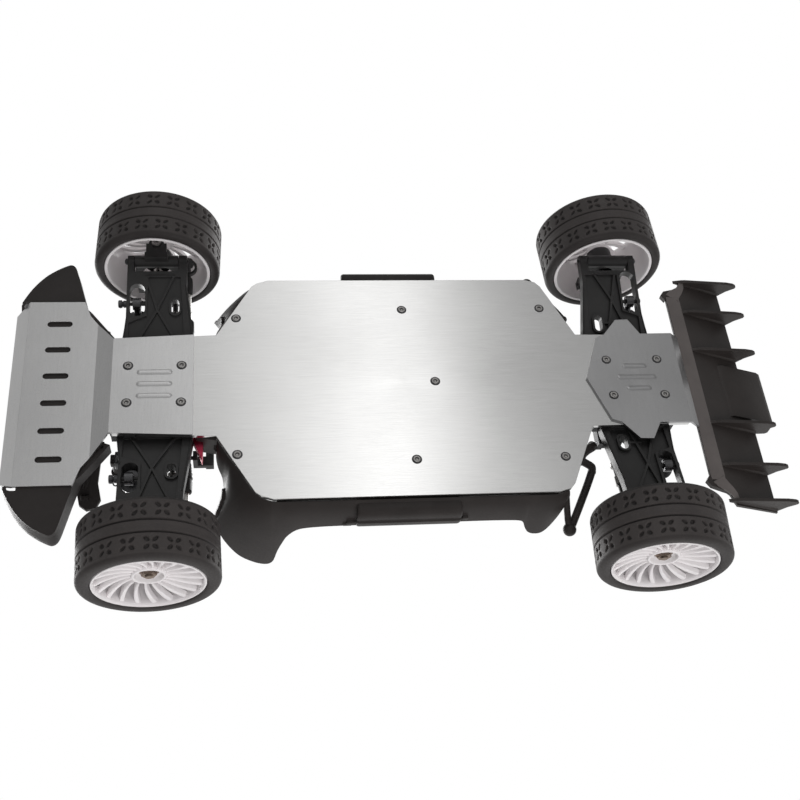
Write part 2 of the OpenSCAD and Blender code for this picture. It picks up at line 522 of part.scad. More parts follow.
shock_body(false, -1);  // rear_right_shock_body
shock_rod(true, 1);  // front_left_shock_rod
shock_rod(true, -1);  // front_right_shock_rod
shock_rod(false, 1);  // rear_left_shock_rod
shock_rod(false, -1);  // rear_right_shock_rod
spring(true, 1);  // front_left_spring
spring(true, -1);  // front_right_spring
spring(false, 1);  // rear_left_spring
spring(false, -1);  // rear_right_spring
driveshaft(true, 1);  // front_left_driveshaft
driveshaft(true, -1);  // front_right_driveshaft
driveshaft(false, 1);  // rear_left_driveshaft
driveshaft(false, -1);  // rear_right_driveshaft
steering_rack();
tie_rod(1);  // left_tie_rod
tie_rod(-1);  // right_tie_rod
driveline();
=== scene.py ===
import math
import bpy
import bmesh
import numpy as np
from mathutils import Matrix, Vector


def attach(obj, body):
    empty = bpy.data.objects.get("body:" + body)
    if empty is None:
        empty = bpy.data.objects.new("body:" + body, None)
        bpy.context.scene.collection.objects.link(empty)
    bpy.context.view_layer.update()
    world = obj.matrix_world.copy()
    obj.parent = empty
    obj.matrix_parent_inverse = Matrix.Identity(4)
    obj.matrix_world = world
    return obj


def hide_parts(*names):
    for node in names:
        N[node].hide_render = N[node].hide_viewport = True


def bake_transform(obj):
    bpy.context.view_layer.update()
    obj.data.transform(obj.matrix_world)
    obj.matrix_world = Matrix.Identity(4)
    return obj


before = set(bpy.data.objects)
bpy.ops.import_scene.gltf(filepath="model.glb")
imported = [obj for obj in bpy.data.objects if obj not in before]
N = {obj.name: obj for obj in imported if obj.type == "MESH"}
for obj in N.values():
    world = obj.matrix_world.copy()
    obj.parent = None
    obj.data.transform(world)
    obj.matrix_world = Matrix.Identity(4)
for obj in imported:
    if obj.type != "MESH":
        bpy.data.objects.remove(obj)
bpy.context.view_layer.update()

MM = 0.001
sin, cos, pi = math.sin, math.cos, math.pi
rad = math.radians

# ------------------------------------------------------------------ camera
cam_data = bpy.data.cameras.new("main_camera")
cam_data.lens = 51.63
cam_data.sensor_width = 36.0
cam_data.clip_start = 0.02
cam_data.clip_end = 30
cam_data.dof.use_dof = False
cam = bpy.data.objects.new("main_camera", cam_data)
bpy.context.scene.collection.objects.link(cam)
right = Vector((-0.99128614, -0.08295874, -0.10232127))
up = Vector((-0.01643904, 0.84860972, -0.52876394))
back = Vector((0.13069642, -0.52247429, -0.84257881))
m = Matrix.Identity(4)
for i in range(3):
    m[i][0], m[i][1], m[i][2] = right[i], up[i], back[i]
m[0][3], m[1][3], m[2][3] = 0.12465, -0.47750, -0.70146
cam.matrix_world = m
bpy.context.scene.camera = cam
bpy.context.scene.view_settings.view_transform = "Standard"


# ------------------------------------------------------------------ materials
class NT:
    """Small helper for node trees."""

    def __init__(self, name):
        self.mat = bpy.data.materials.new(name)
        self.mat.use_nodes = True
        self.nt = self.mat.node_tree
        self.nt.nodes.clear()
        self.out = self.nt.nodes.new("ShaderNodeOutputMaterial")
        self.bsdf = self.nt.nodes.new("ShaderNodeBsdfPrincipled")
        self.link(self.bsdf.outputs[0], self.out.inputs["Surface"])
        self.geo = self.nt.nodes.new("ShaderNodeTexCoord")

    def link(self, a, b):
        self.nt.links.new(a, b)

    def node(self, kind, **kw):
        n = self.nt.nodes.new(kind)
        for k, v in kw.items():
            setattr(n, k, v)
        return n

    def mapping(self, scale=(1, 1, 1), src="Object"):
        mp = self.node("ShaderNodeMapping")
        mp.inputs["Scale"].default_value = scale
        self.link(self.geo.outputs[src], mp.inputs["Vector"])
        return mp.outputs["Vector"]

    def noise(self, scale, detail=4, rough=0.55, vec=None, dist=0.0):
        n = self.node("ShaderNodeTexNoise")
        n.inputs["Scale"].default_value = scale
        n.inputs["Detail"].default_value = detail
        n.inputs["Roughness"].default_value = rough
        n.inputs["Distortion"].default_value = dist
        if vec is None:
            vec = self.geo.outputs["Object"]
        self.link(vec, n.inputs["Vector"])
        return n.outputs["Fac"]

    def ramp(self, fac, stops):
        r = self.node("ShaderNodeValToRGB")
        el = r.color_ramp.elements
        while len(el) > 1:
            el.remove(el[-1])
        for i, (p, c) in enumerate(stops):
            e = el[0] if i == 0 else el.new(p)
            e.position = p
            e.color = tuple(c) + (1,) if hasattr(c, "__len__") else (c, c, c, 1)
        self.link(fac, r.inputs["Fac"])
        return r.outputs["Color"]

    def maprange(self, fac, a, b, c, d):
        r = self.node("ShaderNodeMapRange")
        r.inputs["From Min"].default_value = a
        r.inputs["From Max"].default_value = b
        r.inputs["To Min"].default_value = c
        r.inputs["To Max"].default_value = d
        self.link(fac, r.inputs["Value"])
        return r.outputs["Result"]

    def math(self, op, a, b=None):
        n = self.node("ShaderNodeMath", operation=op)
        for i, v in enumerate((a, b)):
            if v is None:
                continue
            if isinstance(v, (int, float)):
                n.inputs[i].default_value = v
            else:
                self.link(v, n.inputs[i])
        return n.outputs[0]

    def mix(self, fac, a, b, blend="MIX"):
        n = self.node("ShaderNodeMix", data_type="RGBA", blend_type=blend)
        if isinstance(fac, (int, float)):
            n.inputs[0].default_value = fac
        else:
            self.link(fac, n.inputs[0])
        for i, v in ((6, a), (7, b)):
            if hasattr(v, "__len__"):
                n.inputs[i].default_value = tuple(v) + ((1,) if len(v) == 3 else ())
            else:
                self.link(v, n.inputs[i])
        return n.outputs[2]

    def bump(self, height, strength=0.3, dist=0.0002, normal=None):
        b = self.node("ShaderNodeBump")
        b.inputs["Strength"].default_value = strength
        b.inputs["Distance"].default_value = dist
        self.link(height, b.inputs["Height"])
        if normal is not None:
            self.link(normal, b.inputs["Normal"])
        return b.outputs["Normal"]

    def edge(self, radius=0.0004):
        b = self.node("ShaderNodeBevel", samples=4)
        b.inputs["Radius"].default_value = radius
        return b.outputs["Normal"]

    def set(self, **kw):
        for k, v in kw.items():
            s = self.bsdf.inputs[k.replace("_", " ")]
            if isinstance(v, (int, float)) or hasattr(v, "__len__"):
                s.default_value = v if not hasattr(v, "__len__") else (tuple(v) + (1,) if len(v) == 3 else v)
            else:
                self.link(v, s)


def plastic(name, base, light, rough=0.5, grain=900, bump=0.25, bevel=0.0005, wear=0.35, spec=0.5):
    """Moulded plastic with a fine grain, slight mottling and paler edges."""
    t = NT(name)
    mott = t.noise(38, 5)
    fine = t.noise(grain, 3, 0.6)
    col = t.mix(t.maprange(mott, 0.3, 0.7, 0, 1), base, [x * 1.3 + 0.002 for x in base])
    nor = t.edge(bevel)
    # paler where edges are rubbed: difference of the rounded normal from the true one
    g = t.node("ShaderNodeNewGeometry")
    d = t.node("ShaderNodeVectorMath", operation="DOT_PRODUCT")
    t.link(nor, d.inputs[0])
    t.link(g.outputs["Normal"], d.inputs[1])
    e = t.maprange(d.outputs["Value"], 0.995, 0.75, 0, wear)
    col = t.mix(e, col, light)
    t.set(Base_Color=col, Roughness=t.maprange(fine, 0.3, 0.7, rough - 0.06, rough + 0.08), Metallic=0.0)
    t.bsdf.inputs["Specular IOR Level"].default_value = spec
    t.set(Normal=t.bump(fine, bump, 0.00012, nor))
    return t.mat


def brushed(name, tint, rough=0.28, along=(3, 220, 220), streak=0.06, bevel=0.0004, blotch=0.05):
    """Aluminium sheet with fine brushing along X and light handling marks."""
    t = NT(name)
    s1 = t.noise(14, 6, 0.7, t.mapping(along))
    s2 = t.noise(60, 3, 0.6, t.mapping((along[0] * 3, along[1] * 2.5, along[2] * 2.5)))
    blot = t.noise(9, 3, 0.5)
    a = t.math("ADD", t.maprange(s1, 0.3, 0.7, -streak, streak), t.maprange(blot, 0.3, 0.7, -blotch, blotch))
    a = t.math("ADD", a, 1.0 - streak)
    rgb = t.node("ShaderNodeCombineColor")
    for i in range(3):
        t.link(t.math("MULTIPLY", a, tint[i]), rgb.inputs[i])
    # fine scratches
    v = t.node("ShaderNodeTexVoronoi", feature="DISTANCE_TO_EDGE")
    v.inputs["Scale"].default_value = 26
    t.link(t.mapping((1.0, 3.2, 1)), v.inputs["Vector"])
    scr = t.maprange(v.outputs["Distance"], 0.0, 0.004, 1, 0)
    mask = t.maprange(t.noise(22, 2), 0.55, 0.62, 0, 1)
    scr = t.math("MULTIPLY", scr, mask)
    col = t.mix(t.math("MULTIPLY", scr, 0.25), rgb.outputs[0], [min(1, x * 1.1) for x in tint])
    t.set(Base_Color=col, Metallic=1.0, Roughness=t.math("ADD", t.maprange(s2, 0.3, 0.7, rough - 0.05, rough + 0.06), t.math("MULTIPLY", scr, 0.08)))
    t.bsdf.inputs["Anisotropic"].default_value = 0.35
    h = t.math("ADD", s1, t.math("MULTIPLY", s2, 0.6))
    t.set(Normal=t.bump(h, 0.10, 0.00006, t.edge(bevel)))
    return t.mat


def metal(name, tint, rough=0.3, bevel=0.0002, grain=500, var=0.08, bump=0.1):
    t = NT(name)
    n = t.noise(120, 4)
    f = t.noise(grain, 3)
    col = t.mix(t.maprange(n, 0.3, 0.7, 0, 1), tint, [max(0, x - var) for x in tint])
    t.set(Base_Color=col, Metallic=1.0, Roughness=t.maprange(f, 0.3, 0.7, rough - 0.05, rough + 0.08))
    t.set(Normal=t.bump(f, bump, 0.00005, t.edge(bevel)))
    return t.mat


def rubber(name):
    t = NT(name)
    n = t.noise(30, 5)
    f = t.noise(700, 3)
    dust = t.noise(90, 6, 0.7)
    col = t.mix(t.maprange(n, 0.3, 0.7, 0, 1), [0.047, 0.041, 0.040], [0.062, 0.054, 0.052])
    col = t.mix(t.maprange(dust, 0.55, 0.75, 0, 0.35), col, [0.09, 0.083, 0.08])
    # painted shade: the bottoms of the dimples and grooves are darkened in the colour, where shade falls in them
    mp = t.node("ShaderNodeVectorMath", operation="MULTIPLY")
    t.link(t.geo.outputs["Object"], mp.inputs[0])
    mp.inputs[1].default_value = (1, 1, 0)
    ln = t.node("ShaderNodeVectorMath", operation="LENGTH")
    t.link(mp.outputs[0], ln.inputs[0])
    dimple_shade = t.maprange(ln.outputs["Value"], 0.0486, 0.0497, 1.0, 0.0)
    side = t.node("ShaderNodeSeparateXYZ")
    t.link(t.geo.outputs["Object"], side.inputs[0])
    onface = t.maprange(t.math("ABSOLUTE", side.outputs[2]), 0.0186, 0.0190, 1.0, 0.0)
    col = t.mix(t.math("MULTIPLY", t.math("MULTIPLY", dimple_shade, onface), 0.6), col, [0.012, 0.0105, 0.0105])
    # side walls are smoother and darker than the tread
    wall = t.maprange(t.math("ABSOLUTE", side.outputs[2]), 0.0192, 0.0204, 0.0, 0.5)
    col = t.mix(wall, col, [0.012, 0.0105, 0.0105])
    t.set(Base_Color=col, Roughness=t.maprange(f, 0.3, 0.7, 0.50, 0.66))
    t.bsdf.inputs["Specular IOR Level"].default_value = 0.42
    t.set(Normal=t.bump(f, 0.25, 0.0001))
    return t.mat


def white_plastic(name):
    t = NT(name)
    n = t.noise(45, 4)
    f = t.noise(400, 2)
    col = t.mix(t.maprange(n, 0.3, 0.7, 0, 1), [0.86, 0.825, 0.83], [0.80, 0.765, 0.775])
    t.set(Base_Color=col, Roughness=t.maprange(f, 0.3, 0.7, 0.30, 0.38))
    t.bsdf.inputs["Specular IOR Level"].default_value = 0.5
    t.set(Normal=t.bump(f, 0.06, 0.00008, t.edge(0.0003)))
    return t.mat


M = {
    "plate": brushed("chassis_sheet", [0.80, 0.80, 0.795], rough=0.15),
    "skid": brushed("skid_sheet", [0.74, 0.74, 0.74], rough=0.30, along=(120, 5, 120)),
    "skid_rear": brushed("rear_skid_sheet", [0.49, 0.49, 0.495], rough=0.30, along=(120, 5, 120)),
    "nut": metal("hub_nut", [0.30, 0.24, 0.20], 0.34, var=0.05),
    "guard": plastic("guard_black", [0.022, 0.0185, 0.0175], [0.09, 0.082, 0.078], rough=0.46, spec=0.32),
    "diff": plastic("diffuser_black", [0.026, 0.0215, 0.020], [0.11, 0.10, 0.095], rough=0.42, spec=0.4),
    "diffstrip": plastic("diffuser_lip", [0.105, 0.092, 0.088], [0.20, 0.18, 0.17], rough=0.36),
    "arm": plastic("nylon_black", [0.014, 0.0135, 0.0135], [0.085, 0.082, 0.082], rough=0.42, grain=1200),
    "case": plastic("case_black", [0.020, 0.020, 0.022], [0.08, 0.08, 0.085], rough=0.5),
    "tower": plastic("tower_sheet", [0.018, 0.018, 0.019], [0.09, 0.09, 0.09], rough=0.36, grain=300),
    "rubber": rubber("tyre_rubber"),
    "white": white_plastic("wheel_white"),
    "steel": metal("plated_steel", [0.62, 0.61, 0.59], 0.26),
    "dark": metal("black_oxide", [0.12, 0.12, 0.125], 0.36, var=0.02),
    "screw": metal("screw_steel", [0.42, 0.41, 0.40], 0.30, var=0.06),
    "anod": metal("anodised_grey", [0.16, 0.17, 0.19], 0.34, var=0.03),
    "spring": metal("spring_wire", [0.55, 0.55, 0.56], 0.25),
    "rack": metal("rack_alu", [0.07, 0.07, 0.075], 0.34, var=0.02),
    "rod": metal("damper_rod", [0.15, 0.15, 0.155], 0.28, var=0.04),
    "wrap": plastic("battery_wrap", [0.015, 0.03, 0.09], [0.06, 0.09, 0.2], rough=0.25, grain=200, bump=0.08, wear=0.2),
    "can": metal("motor_can", [0.10, 0.10, 0.11], 0.3, var=0.03),
    "wire_black": plastic("wire_black", [0.012, 0.012, 0.013], [0.05, 0.05, 0.05], rough=0.38, grain=300, bump=0.05, bevel=0.0001),
    "wire_red": plastic("wire_red", [0.42, 0.012, 0.012], [0.6, 0.08, 0.06], rough=0.38, grain=300, bump=0.05, bevel=0.0001),
    "wire_blue": plastic("wire_blue", [0.012, 0.05, 0.32], [0.08, 0.15, 0.5], rough=0.38, grain=300, bump=0.05, bevel=0.0001),
    "wire_yellow": plastic("wire_yellow", [0.62, 0.36, 0.02], [0.7, 0.5, 0.1], rough=0.38, grain=300, bump=0.05, bevel=0.0001),
    "strap": plastic("strap_webbing", [0.018, 0.018, 0.019], [0.06, 0.06, 0.06], rough=0.85, grain=1500, bump=0.8, wear=0.1),
    "gold": metal("connector_gold", [0.85, 0.62, 0.22], 0.25),
    "foam": plastic("foam_block", [0.03, 0.03, 0.032], [0.05, 0.05, 0.05], rough=0.95, grain=600, bump=1.0, wear=0.05),
    "red": metal("red_anodised", [0.46, 0.06, 0.10], 0.38, var=0.04),
}


def paint(node, mat):
    me = N[node].data
    me.materials.clear()
    me.materials.append(mat)
    for p in me.polygons:
        p.material_index = 0


def node_mat(n):
    if n == "chassis_plate":
        return "plate"
    if n.endswith("skid_plate"):
        return "skid_rear" if n.startswith("rear") else "skid"
    if n.endswith("side_guard") or n == "front_splitter" or n == "body_stays":
        return "guard"
    if n == "rear_diffuser":
        return "diff"
    if n.endswith("shock_tower"):
        return "tower"
    if n == "motor":
        return "can"
    if n == "battery_pack":
        return "wrap"
    if n == "fasteners":
        return "dark"
    if n.endswith("_tyre"):
        return "rubber"
    if n.endswith("_rim"):
        return "white"
    if n.endswith("_spring"):
        return "spring"
    if n.endswith("_shock_body"):
        return "anod"
    if n.endswith("_shock_rod"):
        return "rod"
    if n.endswith("_driveshaft") or n == "driveline":
        return "steel"
    if n in ("steering_rack",):
        return "arm"
    if n.endswith("_arm") or n.endswith("_link") or n.endswith("_carrier") or n.endswith("_knuckle") or n.endswith("_tie_rod"):
        return "arm"
    return "case"


for name in sorted(N):
    paint(name, M[node_mat(name)])


# ------------------------------------------------------------------ mesh helpers
def make(name, verts, faces, mat, body, smooth=True, auto=35, slot=None, scale=MM, matrix=None):
    me = bpy.data.meshes.new(name)
    v = np.asarray(verts, float) * scale
    me.from_pydata([tuple(p) for p in v], [], [tuple(f) for f in faces])
    me.validate()
    me.update()
    bm = bmesh.new()
    bm.from_mesh(me)
    bmesh.ops.recalc_face_normals(bm, faces=bm.faces)
    bm.to_mesh(me)
    bm.free()
    me.materials.append(mat)
    o = bpy.data.objects.new(name, me)
    bpy.context.scene.collection.objects.link(o)
    if matrix is not None:
        o.matrix_world = matrix
    if smooth:
        me.polygons.foreach_set("use_smooth", [True] * len(me.polygons))
        me.set_sharp_from_angle(angle=rad(auto))
    if body:
        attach(o, body)
    return o


def lathe(prof, n=96, close=True):
    """Ring from a closed (radius, axial) profile about local Z."""
    prof = np.asarray(prof, float)
    k = len(prof)
    th = np.arange(n) * 2 * pi / n
    v = np.stack([np.outer(np.cos(th), prof[:, 0]), np.outer(np.sin(th), prof[:, 0]), np.tile(prof[:, 1], (n, 1))], -1).reshape(-1, 3)
    f = []
    for i in range(n):
        j = (i + 1) % n
        for a in range(k if close else k - 1):
            b = (a + 1) % k
            f.append((i * k + a, j * k + a, j * k + b, i * k + b))
    return v, f


def join_geo(parts):
    vs, fs, off = [], [], 0
    for v, f in parts:
        v = np.asarray(v, float)
        vs.append(v)
        fs += [tuple(i + off for i in q) for q in f]
        off += len(v)
    return np.concatenate(vs), fs


# ------------------------------------------------------------------ wheels
HW = 22.8
TR = 50.0


def tyre_geo(n=640):
    """Tyre with two bands of four-petal dimples either side of a plain middle rib."""
    tread_w = np.concatenate([np.linspace(-18.6, 18.6, 70)])
    side_o = [(49.75, 19.8), (49.2, 20.9), (48.2, 21.9), (46.6, 22.6), (44.4, 22.8), (42.3, 22.7), (41.2, 22.3), (40.4, 21.8), (40.0, 21.0), (39.8, 20.0)]
    side_i = [(42.2, -20.8), (42.4, -21.6), (43.2, -22.3), (44.6, -22.7), (46.6, -22.6), (48.2, -21.9), (49.2, -20.9), (49.75, -19.8)]
    prof = [(TR, w) for w in tread_w] + side_o + [(39.8, 18.0)] + [(42.1, 15.5), (42.1, -20.0)] + side_i
    prof = np.array(prof)
    k = len(prof)
    nt = len(tread_w)
    th = np.arange(n) * 2 * pi / n
    R = np.tile(prof[:, 0], (n, 1))
    W = np.tile(prof[:, 1], (n, 1))
    s = th[:, None] * TR  # arc length
    w = prof[None, :nt, 1]
    depth = np.zeros((n, nt))
    groups = 20
    pitch = 2 * pi * TR / groups
    for band, ph in ((12.6, 0.0), (-12.6, 0.5)):
        u = (s / pitch + ph) % 1.0
        u = (u - 0.5) * pitch
        x = u
        y = w - band
        for sx in (-1, 1):
            for sy in (-1, 1):
                cx_, cy_ = sx * 2.95, sy * 2.85
                a = sx * sy * 0.80
                dx, dy = x - cx_, y - cy_
                p = dx * cos(a) + dy * sin(a)
                q = -dx * sin(a) + dy * cos(a)
                d = np.sqrt((p / 2.3) ** 2 + (q / 1.35) ** 2)
                depth = np.maximum(depth, np.clip((1.14 - d) / 0.28, 0, 1) * 1.5)
    for c, wd, dp in ((4.6, 0.8, 1.4), (-4.6, 0.8, 1.4), (18.2, 0.35, 0.35), (-18.2, 0.35, 0.35)):
        depth = np.maximum(depth, np.clip((wd - np.abs(w - c)) / 0.35, 0, 1) * dp)
    # the rib carries shallow moulding lines
    depth = depth + 0.12 * np.exp(-((w / 1.0) ** 2))
    R[:, :nt] -= depth
    v = np.stack([R * np.cos(th)[:, None], R * np.sin(th)[:, None], W], -1).reshape(-1, 3)
    f = []
    for i in range(n):
        j = (i + 1) % n
        for a in range(k):
            b = (a + 1) % k
            f.append((i * k + a, j * k + a, j * k + b, i * k + b))
    return v, f


def rim_geo():
    parts = []
    ring = [(42.1, -21.0), (42.0, -22.0), (41.0, -22.2), (39.9, -22.0), (39.3, -21.2), (39.2, -18.0), (38.4, -16.5), (38.2, 6), (38.0, 14.5), (37.4, 16.4), (37.2, 19.6), (37.5, 21.0), (38.4, 21.9), (39.4, 21.8), (39.75, 20.6), (39.75, 18.2), (41.0, 16.6), (42.05, 15.4)]
    parts.append(lathe(ring, 128))
    hub = [(3.1, 8.5), (3.1, 11.2), (7.4, 11.2), (8.6, 11.5), (9.4, 12.6), (9.8, 14.6), (10.4, 15.6), (11.6, 15.8), (12.4, 15.0), (12.6, 13.4), (12.2, 10.4), (10.6, 8.6), (8.4, 7.6), (8.4, -2.0), (7.2, -2.4), (6.8, -1.6), (6.8, 6.6), (5.4, 7.6)]
    parts.append(lathe(hub, 72))
    nv = 20
    rs = np.linspace(11.6, 38.3, 15)
    for i in range(nv):
        a0 = i * 2 * pi / nv
        vs = []
        for r in rs:
            t = (r - 11.6) / 26.7
            ang = a0 + rad(17) * t ** 1.2
            half = 0.75 + 1.5 * t ** 1.1 - 0.35 * max(0, t - 0.8) * 5
            top = 14.9 + 5.2 * t ** 1.5
            bot = 9.6 + 7.0 * t ** 1.4
            c = np.array([cos(ang), sin(ang)])
            tn = np.array([-sin(ang), cos(ang)])
            prof = [(-half, bot), (-half, top - 0.9), (-half + 0.45, top - 0.25), (0, top), (half - 0.25, top - 0.55), (half, top - 1.3), (half + 0.5, bot)]
            for q, z in prof:
                p = c * r + tn * q
                vs.append((p[0], p[1], z))
        k = 7
        fs = []
        for a in range(len(rs) - 1):
            for b in range(k):
                c2 = (b + 1) % k
                fs.append((a * k + b, (a + 1) * k + b, (a + 1) * k + c2, a * k + c2))
        fs.append(tuple(range(k)))
        fs.append(tuple((len(rs) - 1) * k + b for b in reversed(range(k))))
        parts.append((vs, fs))
    return join_geo(parts)


def axle_geo():
    """Stub axle, drive hex and flanged lock nut."""
    parts = [lathe([(0.01, -13), (2.9, -13), (3.0, -12.6), (3.0, 15.6), (2.5, 16.2), (0.01, 16.2)], 32)]
    hexr = 5.6
    prof = []
    n = 6
    v = []
    for z, r in ((11.3, hexr - 0.5), (11.7, hexr), (14.6, hexr), (15.1, hexr - 0.7), (15.1, 3.0), (11.3, 3.0)):
        for i in range(n):
            a = i * pi / 3
            v.append((r * cos(a), r * sin(a), z))
    f = []
    for lv in range(6):
        nx = (lv + 1) % 6
        for i in range(n):
            j = (i + 1) % n
            f.append((lv * n + i, lv * n + j, nx * n + j, nx * n + i))
    parts.append((v, f))
    parts.append(lathe([(3.0, 11.25), (7.2, 11.25), (7.2, 11.7), (6.4, 12.1), (3.0, 12.1)], 40))
    return join_geo(parts)


ty_me = rim_me = ax_me = None
FA, RA, KY = 196.0, -177.0, 126.0


def wheel_matrix(front, s):
    toe = rad(2.0 if front else -2.5)
    ax = FA if front else RA
    d = 136.5 - KY
    x, y = ax - d * sin(toe), KY + d * cos(toe)
    # local Z (outwards) -> (-sin toe, cos toe, 0)
    zc = Vector((-sin(toe), cos(toe), 0))
    xc = Vector((cos(toe), sin(toe), 0))
    yc = zc.cross(xc)
    if s < 0:
        y = -y
        zc.y, xc.y = -zc.y, -xc.y
        yc = zc.cross(xc)
    mm = Matrix.Identity(4)
    for i in range(3):
        mm[i][0], mm[i][1], mm[i][2] = xc[i], yc[i], zc[i]
    mm[0][3], mm[1][3], mm[2][3] = x * MM, y * MM, 0.050
    return mm


tv, tf = tyre_geo()
rv, rf = rim_geo()
av, af = axle_geo()
for fr in ("front", "rear"):
    for sd, s in (("left", 1), ("right", -1)):
        body = f"{fr}_{sd}_wheel"
        mtx = wheel_matrix(fr == "front", s)
        phase = {"front_left": 7, "front_right": 3, "rear_left": 12, "rear_right": 5}[f"{fr}_{sd}"]
        mtx = mtx @ Matrix.Rotation(rad(phase), 4, "Z")
        t = make(f"{fr}_{sd}_tyre_tread", tv, tf, M["rubber"], body, auto=50, slot="tyre", matrix=mtx)
        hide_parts(f"{fr}_{sd}_tyre")
        r = make(f"{fr}_{sd}_vaned_rim", rv, rf, M["white"], body, auto=40, slot="wheel_plastic", matrix=mtx)
        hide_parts(f"{fr}_{sd}_rim")
        make(f"{fr}_{sd}_stub_axle", av, af, M["nut"], body, auto=30, slot="steel", matrix=mtx)

# ------------------------------------------------------------------ geometry helpers
def box_geo(lo, hi, bev=0.5, seg=2):
    bm = bmesh.new()
    bmesh.ops.create_cube(bm, size=1.0)
    for v in bm.verts:
        for i in range(3):
            v.co[i] = (lo[i] + hi[i]) / 2 + v.co[i] * (hi[i] - lo[i])
    if bev:
        bmesh.ops.bevel(bm, geom=list(bm.edges), offset=bev, segments=seg, profile=0.5, affect="EDGES")
    bm.verts.ensure_lookup_table()
    bm.verts.index_update()
    v = [tuple(x.co) for x in bm.verts]
    f = [tuple(x.index for x in q.verts) for q in bm.faces]
    bm.free()
    return v, f


def frame_z(d):
    z = Vector(d).normalized()
    x = z.orthogonal().normalized()
    y = z.cross(x)
    return x, y, z


def turn(prof, base, axis, n=32, phase=0.0):
    """Solid of revolution: (radius, axial) profile from base along axis."""
    x, y, z = frame_z(axis)
    b = Vector(base)
    v, f = [], []
    for r, h in prof:
        for i in range(n):
            a = phase + i * 2 * pi / n
            v.append(tuple(b + x * (r * cos(a)) + y * (r * sin(a)) + z * h))
    k = len(prof)
    for q in range(k - 1):
        for i in range(n):
            j = (i + 1) % n
            f.append((q * n + i, q * n + j, (q + 1) * n + j, (q + 1) * n + i))
    f.append(tuple(reversed(range(n))))
    f.append(tuple((k - 1) * n + i for i in range(n)))
    return v, f


def lathe_at(prof, base, axis, n=32):
    """Closed ring from a (radius, axial) profile, from base along axis."""
    x, y, z = frame_z(axis)
    b = Vector(base)
    v, f = [], []
    k = len(prof)
    for r, h in prof:
        for i in range(n):
            a = i * 2 * pi / n
            v.append(tuple(b + x * (r * cos(a)) + y * (r * sin(a)) + z * h))
    for q in range(k):
        w = (q + 1) % k
        for i in range(n):
            j = (i + 1) % n
            f.append((q * n + i, q * n + j, w * n + j, w * n + i))
    return v, f


def rod_geo(p, q, r, n=20, ch=0.4):
    d = Vector(q) - Vector(p)
    L = d.length
    return turn([(r - ch, 0), (r, ch), (r, L - ch), (r - ch, L)], p, d, n)


def smooth_path(pts, sub=8):
    pts = [Vector(p) for p in pts]
    if len(pts) < 3:
        return pts
    ext = [pts[0] * 2 - pts[1]] + pts + [pts[-1] * 2 - pts[-2]]
    out = []
    for i in range(1, len(ext) - 2):
        p0, p1, p2, p3 = ext[i - 1 : i + 3]
        for k in range(sub):
            t = k / sub
            out.append(0.5 * ((2 * p1) + (p2 - p0) * t + (2 * p0 - 5 * p1 + 4 * p2 - p3) * t * t + (3 * p1 - p0 - 3 * p2 + p3) * t ** 3))
    out.append(ext[-2])
    return out


def tube_geo(pts, r, n=12, sub=8):
    path = smooth_path(pts, sub)
    radii = r if hasattr(r, "__len__") else None
    x = None
    v, f = [], []
    m = len(path)
    for i, p in enumerate(path):
        d = (path[min(i + 1, m - 1)] - path[max(i - 1, 0)]).normalized()
        if x is None:
            x = d.orthogonal().normalized()
        x = (x - d * x.dot(d)).normalized()
        y = d.cross(x)
        rr = radii[0] + (radii[1] - radii[0]) * i / (m - 1) if radii else r
        for k in range(n):
            a = k * 2 * pi / n
            v.append(tuple(p + x * (rr * cos(a)) + y * (rr * sin(a))))
    for i in range(m - 1):
        for k in range(n):
            j = (k + 1) % n
            f.append((i * n + k, i * n + j, (i + 1) * n + j, (i + 1) * n + k))
    f.append(tuple(reversed(range(n))))
    f.append(tuple((m - 1) * n + k for k in range(n)))
    return v, f


def ball_geo(c, r, n=20):
    prof = [(max(0.02, r * sin(pi * i / 12)), -r * cos(pi * i / 12)) for i in range(13)]
    return turn(prof, c, (0, 0, 1), n)


def screw_geo(base, axis, r=2.9, h=1.6, sock=1.5, dome=0.4):
    """Cap screw head with a hex socket. base is under the head, axis points out of the head."""
    x, y, z = frame_z(axis)
    b = Vector(base)
    n = 30
    v, f = [], []

    def ringp(rad_, hh, hexed=False):
        i0 = len(v)
        for i in range(n):
            a = i * 2 * pi / n
            rr = rad_
            if hexed:
                q = (a % (pi / 3)) - pi / 6
                rr = rad_ * cos(pi / 6) / cos(q)
            v.append(tuple(b + x * (rr * cos(a)) + y * (rr * sin(a)) + z * hh))
        return i0

    rings = [ringp(r, 0), ringp(r, h - dome), ringp(r - dome * 0.5, h - dome * 0.25), ringp(r - dome * 1.4, h), ringp(sock * 1.22, h), ringp(sock, h - 0.25, True), ringp(sock, h - 1.1, True), ringp(0.03, h - 1.3)]
    for a_, b_ in zip(rings[:-1], rings[1:]):
        for i in range(n):
            j = (i + 1) % n
            f.append((a_ + i, a_ + j, b_ + j, b_ + i))
    f.append(tuple(reversed(range(rings[0], rings[0] + n))))
    f.append(tuple(rings[-1] + i for i in range(n)))
    return v, f


def mir(g):
    """The same geometry on the other side of the car."""
    v, f = g
    return [(p[0], -p[1], p[2]) for p in v], f


def both(gs):
    return [g for g in gs] + [mir(g) for g in gs]


